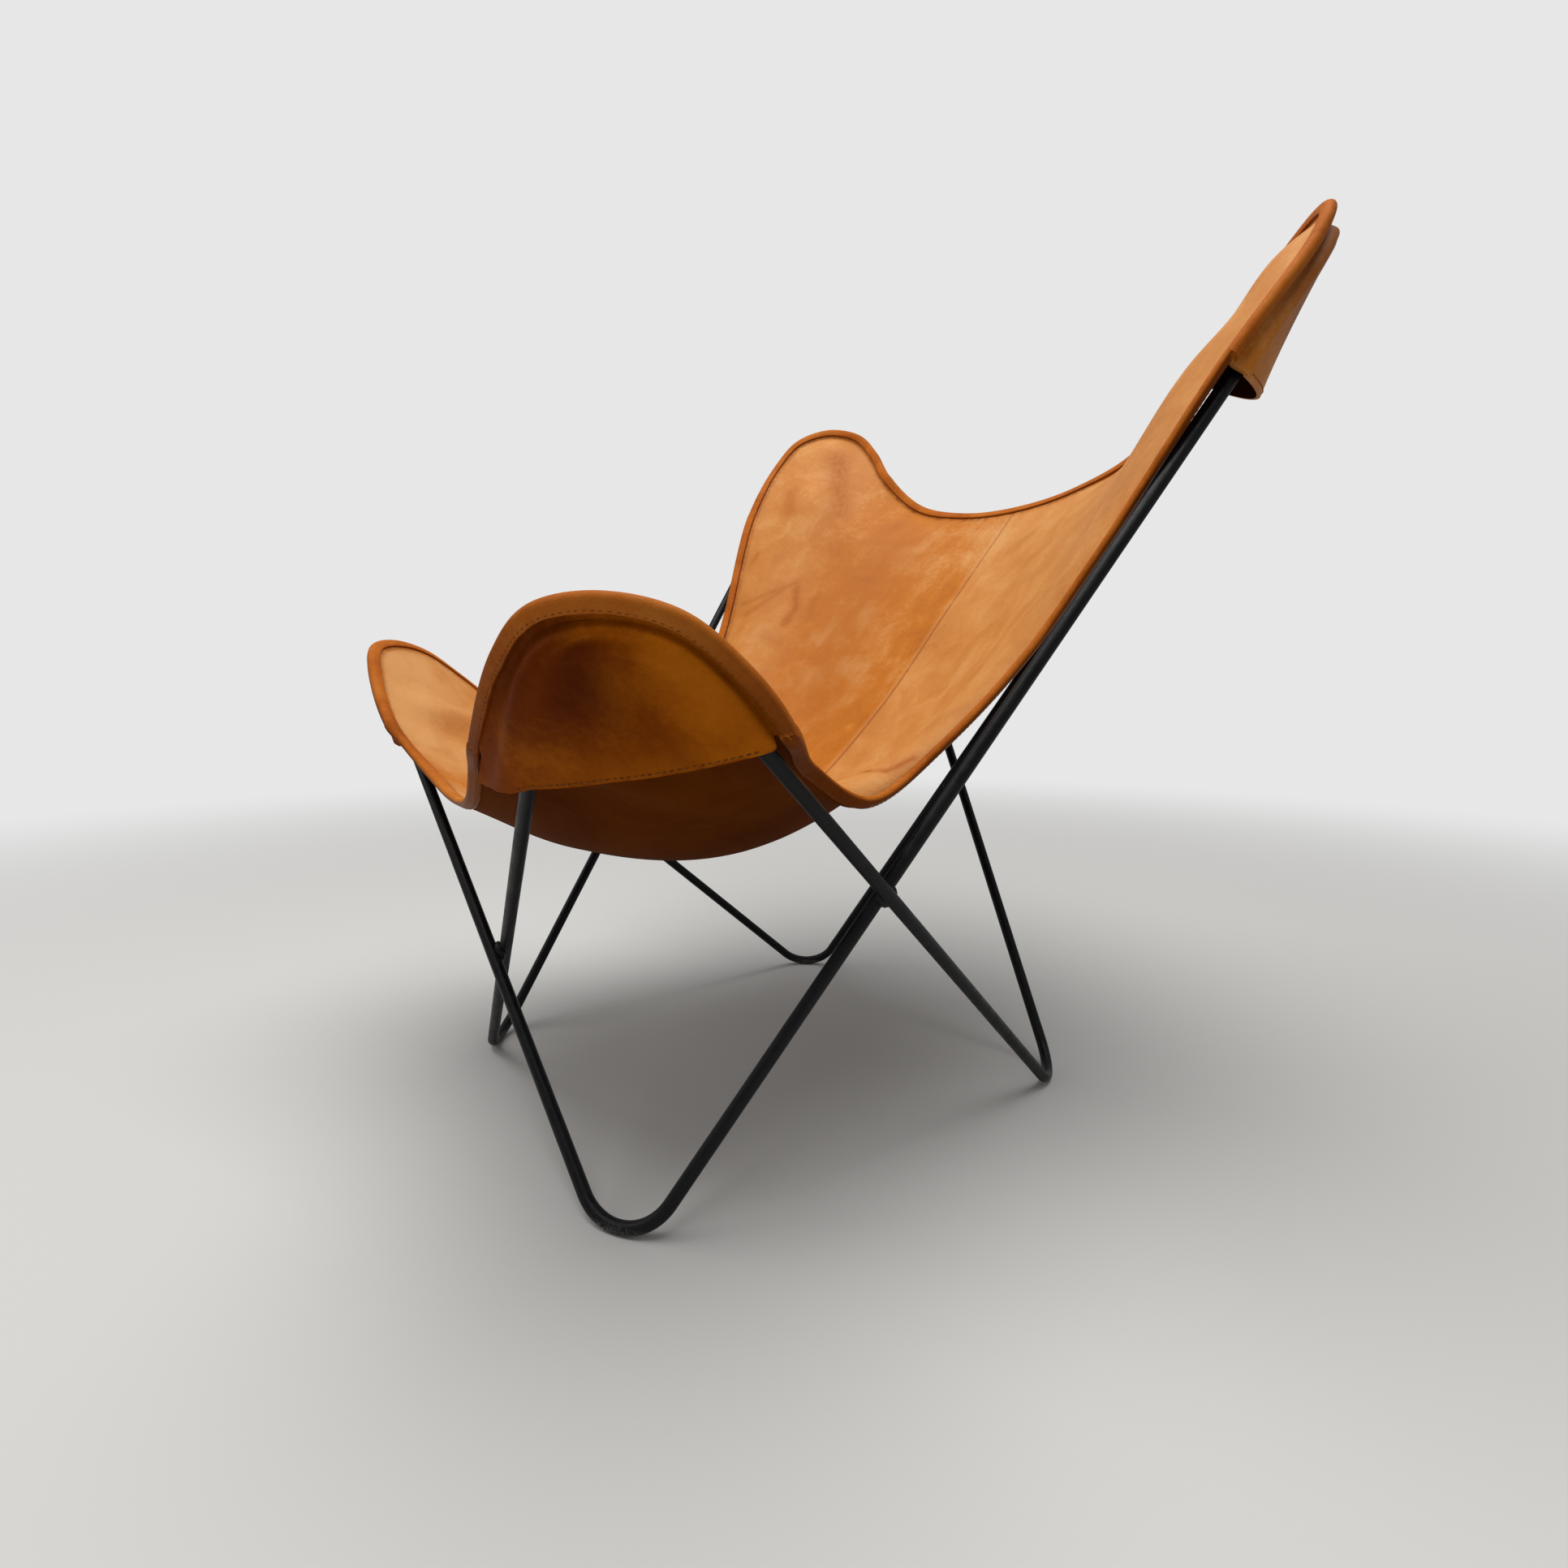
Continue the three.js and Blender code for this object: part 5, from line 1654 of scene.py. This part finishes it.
@dataclass(frozen=True)
class Studio:
    """Plain pale floor under soft light from above."""

    floor: Colour = (0.6, 0.59, 0.57)
    floor_rough: float = 0.75
    floor_shine: float = 0.2
    sky: Colour = (1.0, 1.0, 1.0)
    sky_strength: float = 0.32
    backdrop: float = 0.8
    floor_size: float = 60.0
    fade_span: Span = (0.9, 3.2)
    lamps: tuple[SoftBox, ...] = (
        SoftBox("soft_box_top", (0.1, -0.2, 3.1), 2.8, 96.0),
        SoftBox("soft_box_front", (-1.6, -2.6, 2.4), 2.0, 18.0),
    )

    def fade(self, f: Finish) -> None:
        """Lets the floor run into the backdrop's tone far from the chair, as the camera sees it."""
        away = f.node("ShaderNodeVectorMath", {"operation": "LENGTH"}, {0: f.place}, "Value")
        share = away.step(*self.fade_span) * f.node("ShaderNodeLightPath", {}, {}, "Is Camera Ray")
        glow = f.node("ShaderNodeEmission", {}, {"Color": tuple(self.backdrop * c for c in self.sky)})
        both = f.node("ShaderNodeMixShader", {}, {0: share, 1: Wire(f, f.shader.outputs[0]), 2: glow})
        f.feed(f.nodes["Material Output"].inputs["Surface"], both)

    def build(self) -> None:
        """Makes the floor, the lamps and the sky."""
        half = self.floor_size / 2
        mesh = bpy.data.meshes.new("floor")
        mesh.from_pydata([(-half, -half, 0), (half, -half, 0), (half, half, 0), (-half, half, 0)], [], [(0, 1, 2, 3)])
        floor = placed("floor", mesh)
        f = Finish("pale_floor")
        f.set(Base_Color=self.floor, Roughness=self.floor_rough, Specular_IOR_Level=self.floor_shine)
        self.fade(f)
        mesh.materials.append(f.material)
        for lamp in self.lamps:
            lamp.build()
        world = bpy.data.worlds.new("soft_sky")
        world.use_nodes = True
        nodes, links = world.node_tree.nodes, world.node_tree.links
        back = nodes["Background"]
        back.inputs["Color"].default_value = (*self.sky, 1.0)
        seen = nodes.new("ShaderNodeMix")
        seen.inputs["A"].default_value, seen.inputs["B"].default_value = self.sky_strength, self.backdrop
        links.new(nodes.new("ShaderNodeLightPath").outputs["Is Camera Ray"], seen.inputs["Factor"])
        links.new(seen.outputs["Result"], back.inputs["Strength"])
        bpy.context.scene.world = world
        bpy.context.scene.view_settings.view_transform = "Standard"


def drawing_shift(rods: RodFrame) -> Array:
    """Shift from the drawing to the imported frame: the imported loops' middle along y less the drawn loops'."""
    packed = [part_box(f"frame_loop_{side.word}") for side in Side]
    drawn = np.vstack([rods.tube(loop).points for loop in rods.loops.values()])
    low, high = min(b[0].y for b in packed), max(b[1].y for b in packed)
    return np.array([0, (low + high) / 2 / MM - (drawn[:, 1].min() + drawn[:, 1].max()) / 2, 0])


def main() -> None:
    """Builds the chair, its finishes, the camera and the studio."""
    logging.basicConfig(level=logging.INFO, format="%(name)s: %(message)s")
    rods = RodFrame()
    bench = Bench(drawing_shift(rods))
    log.info("shift along y: %.2f mm", bench.shift[1])
    PhotoView().build(bench)
    finishes = Finishes.make()
    rods.build(bench, finishes)
    for side in Side:
        SlingHalf(side, rods, SlingSizes()).build(bench, finishes)
    Studio().build()


if __name__ == "__main__":
    main()
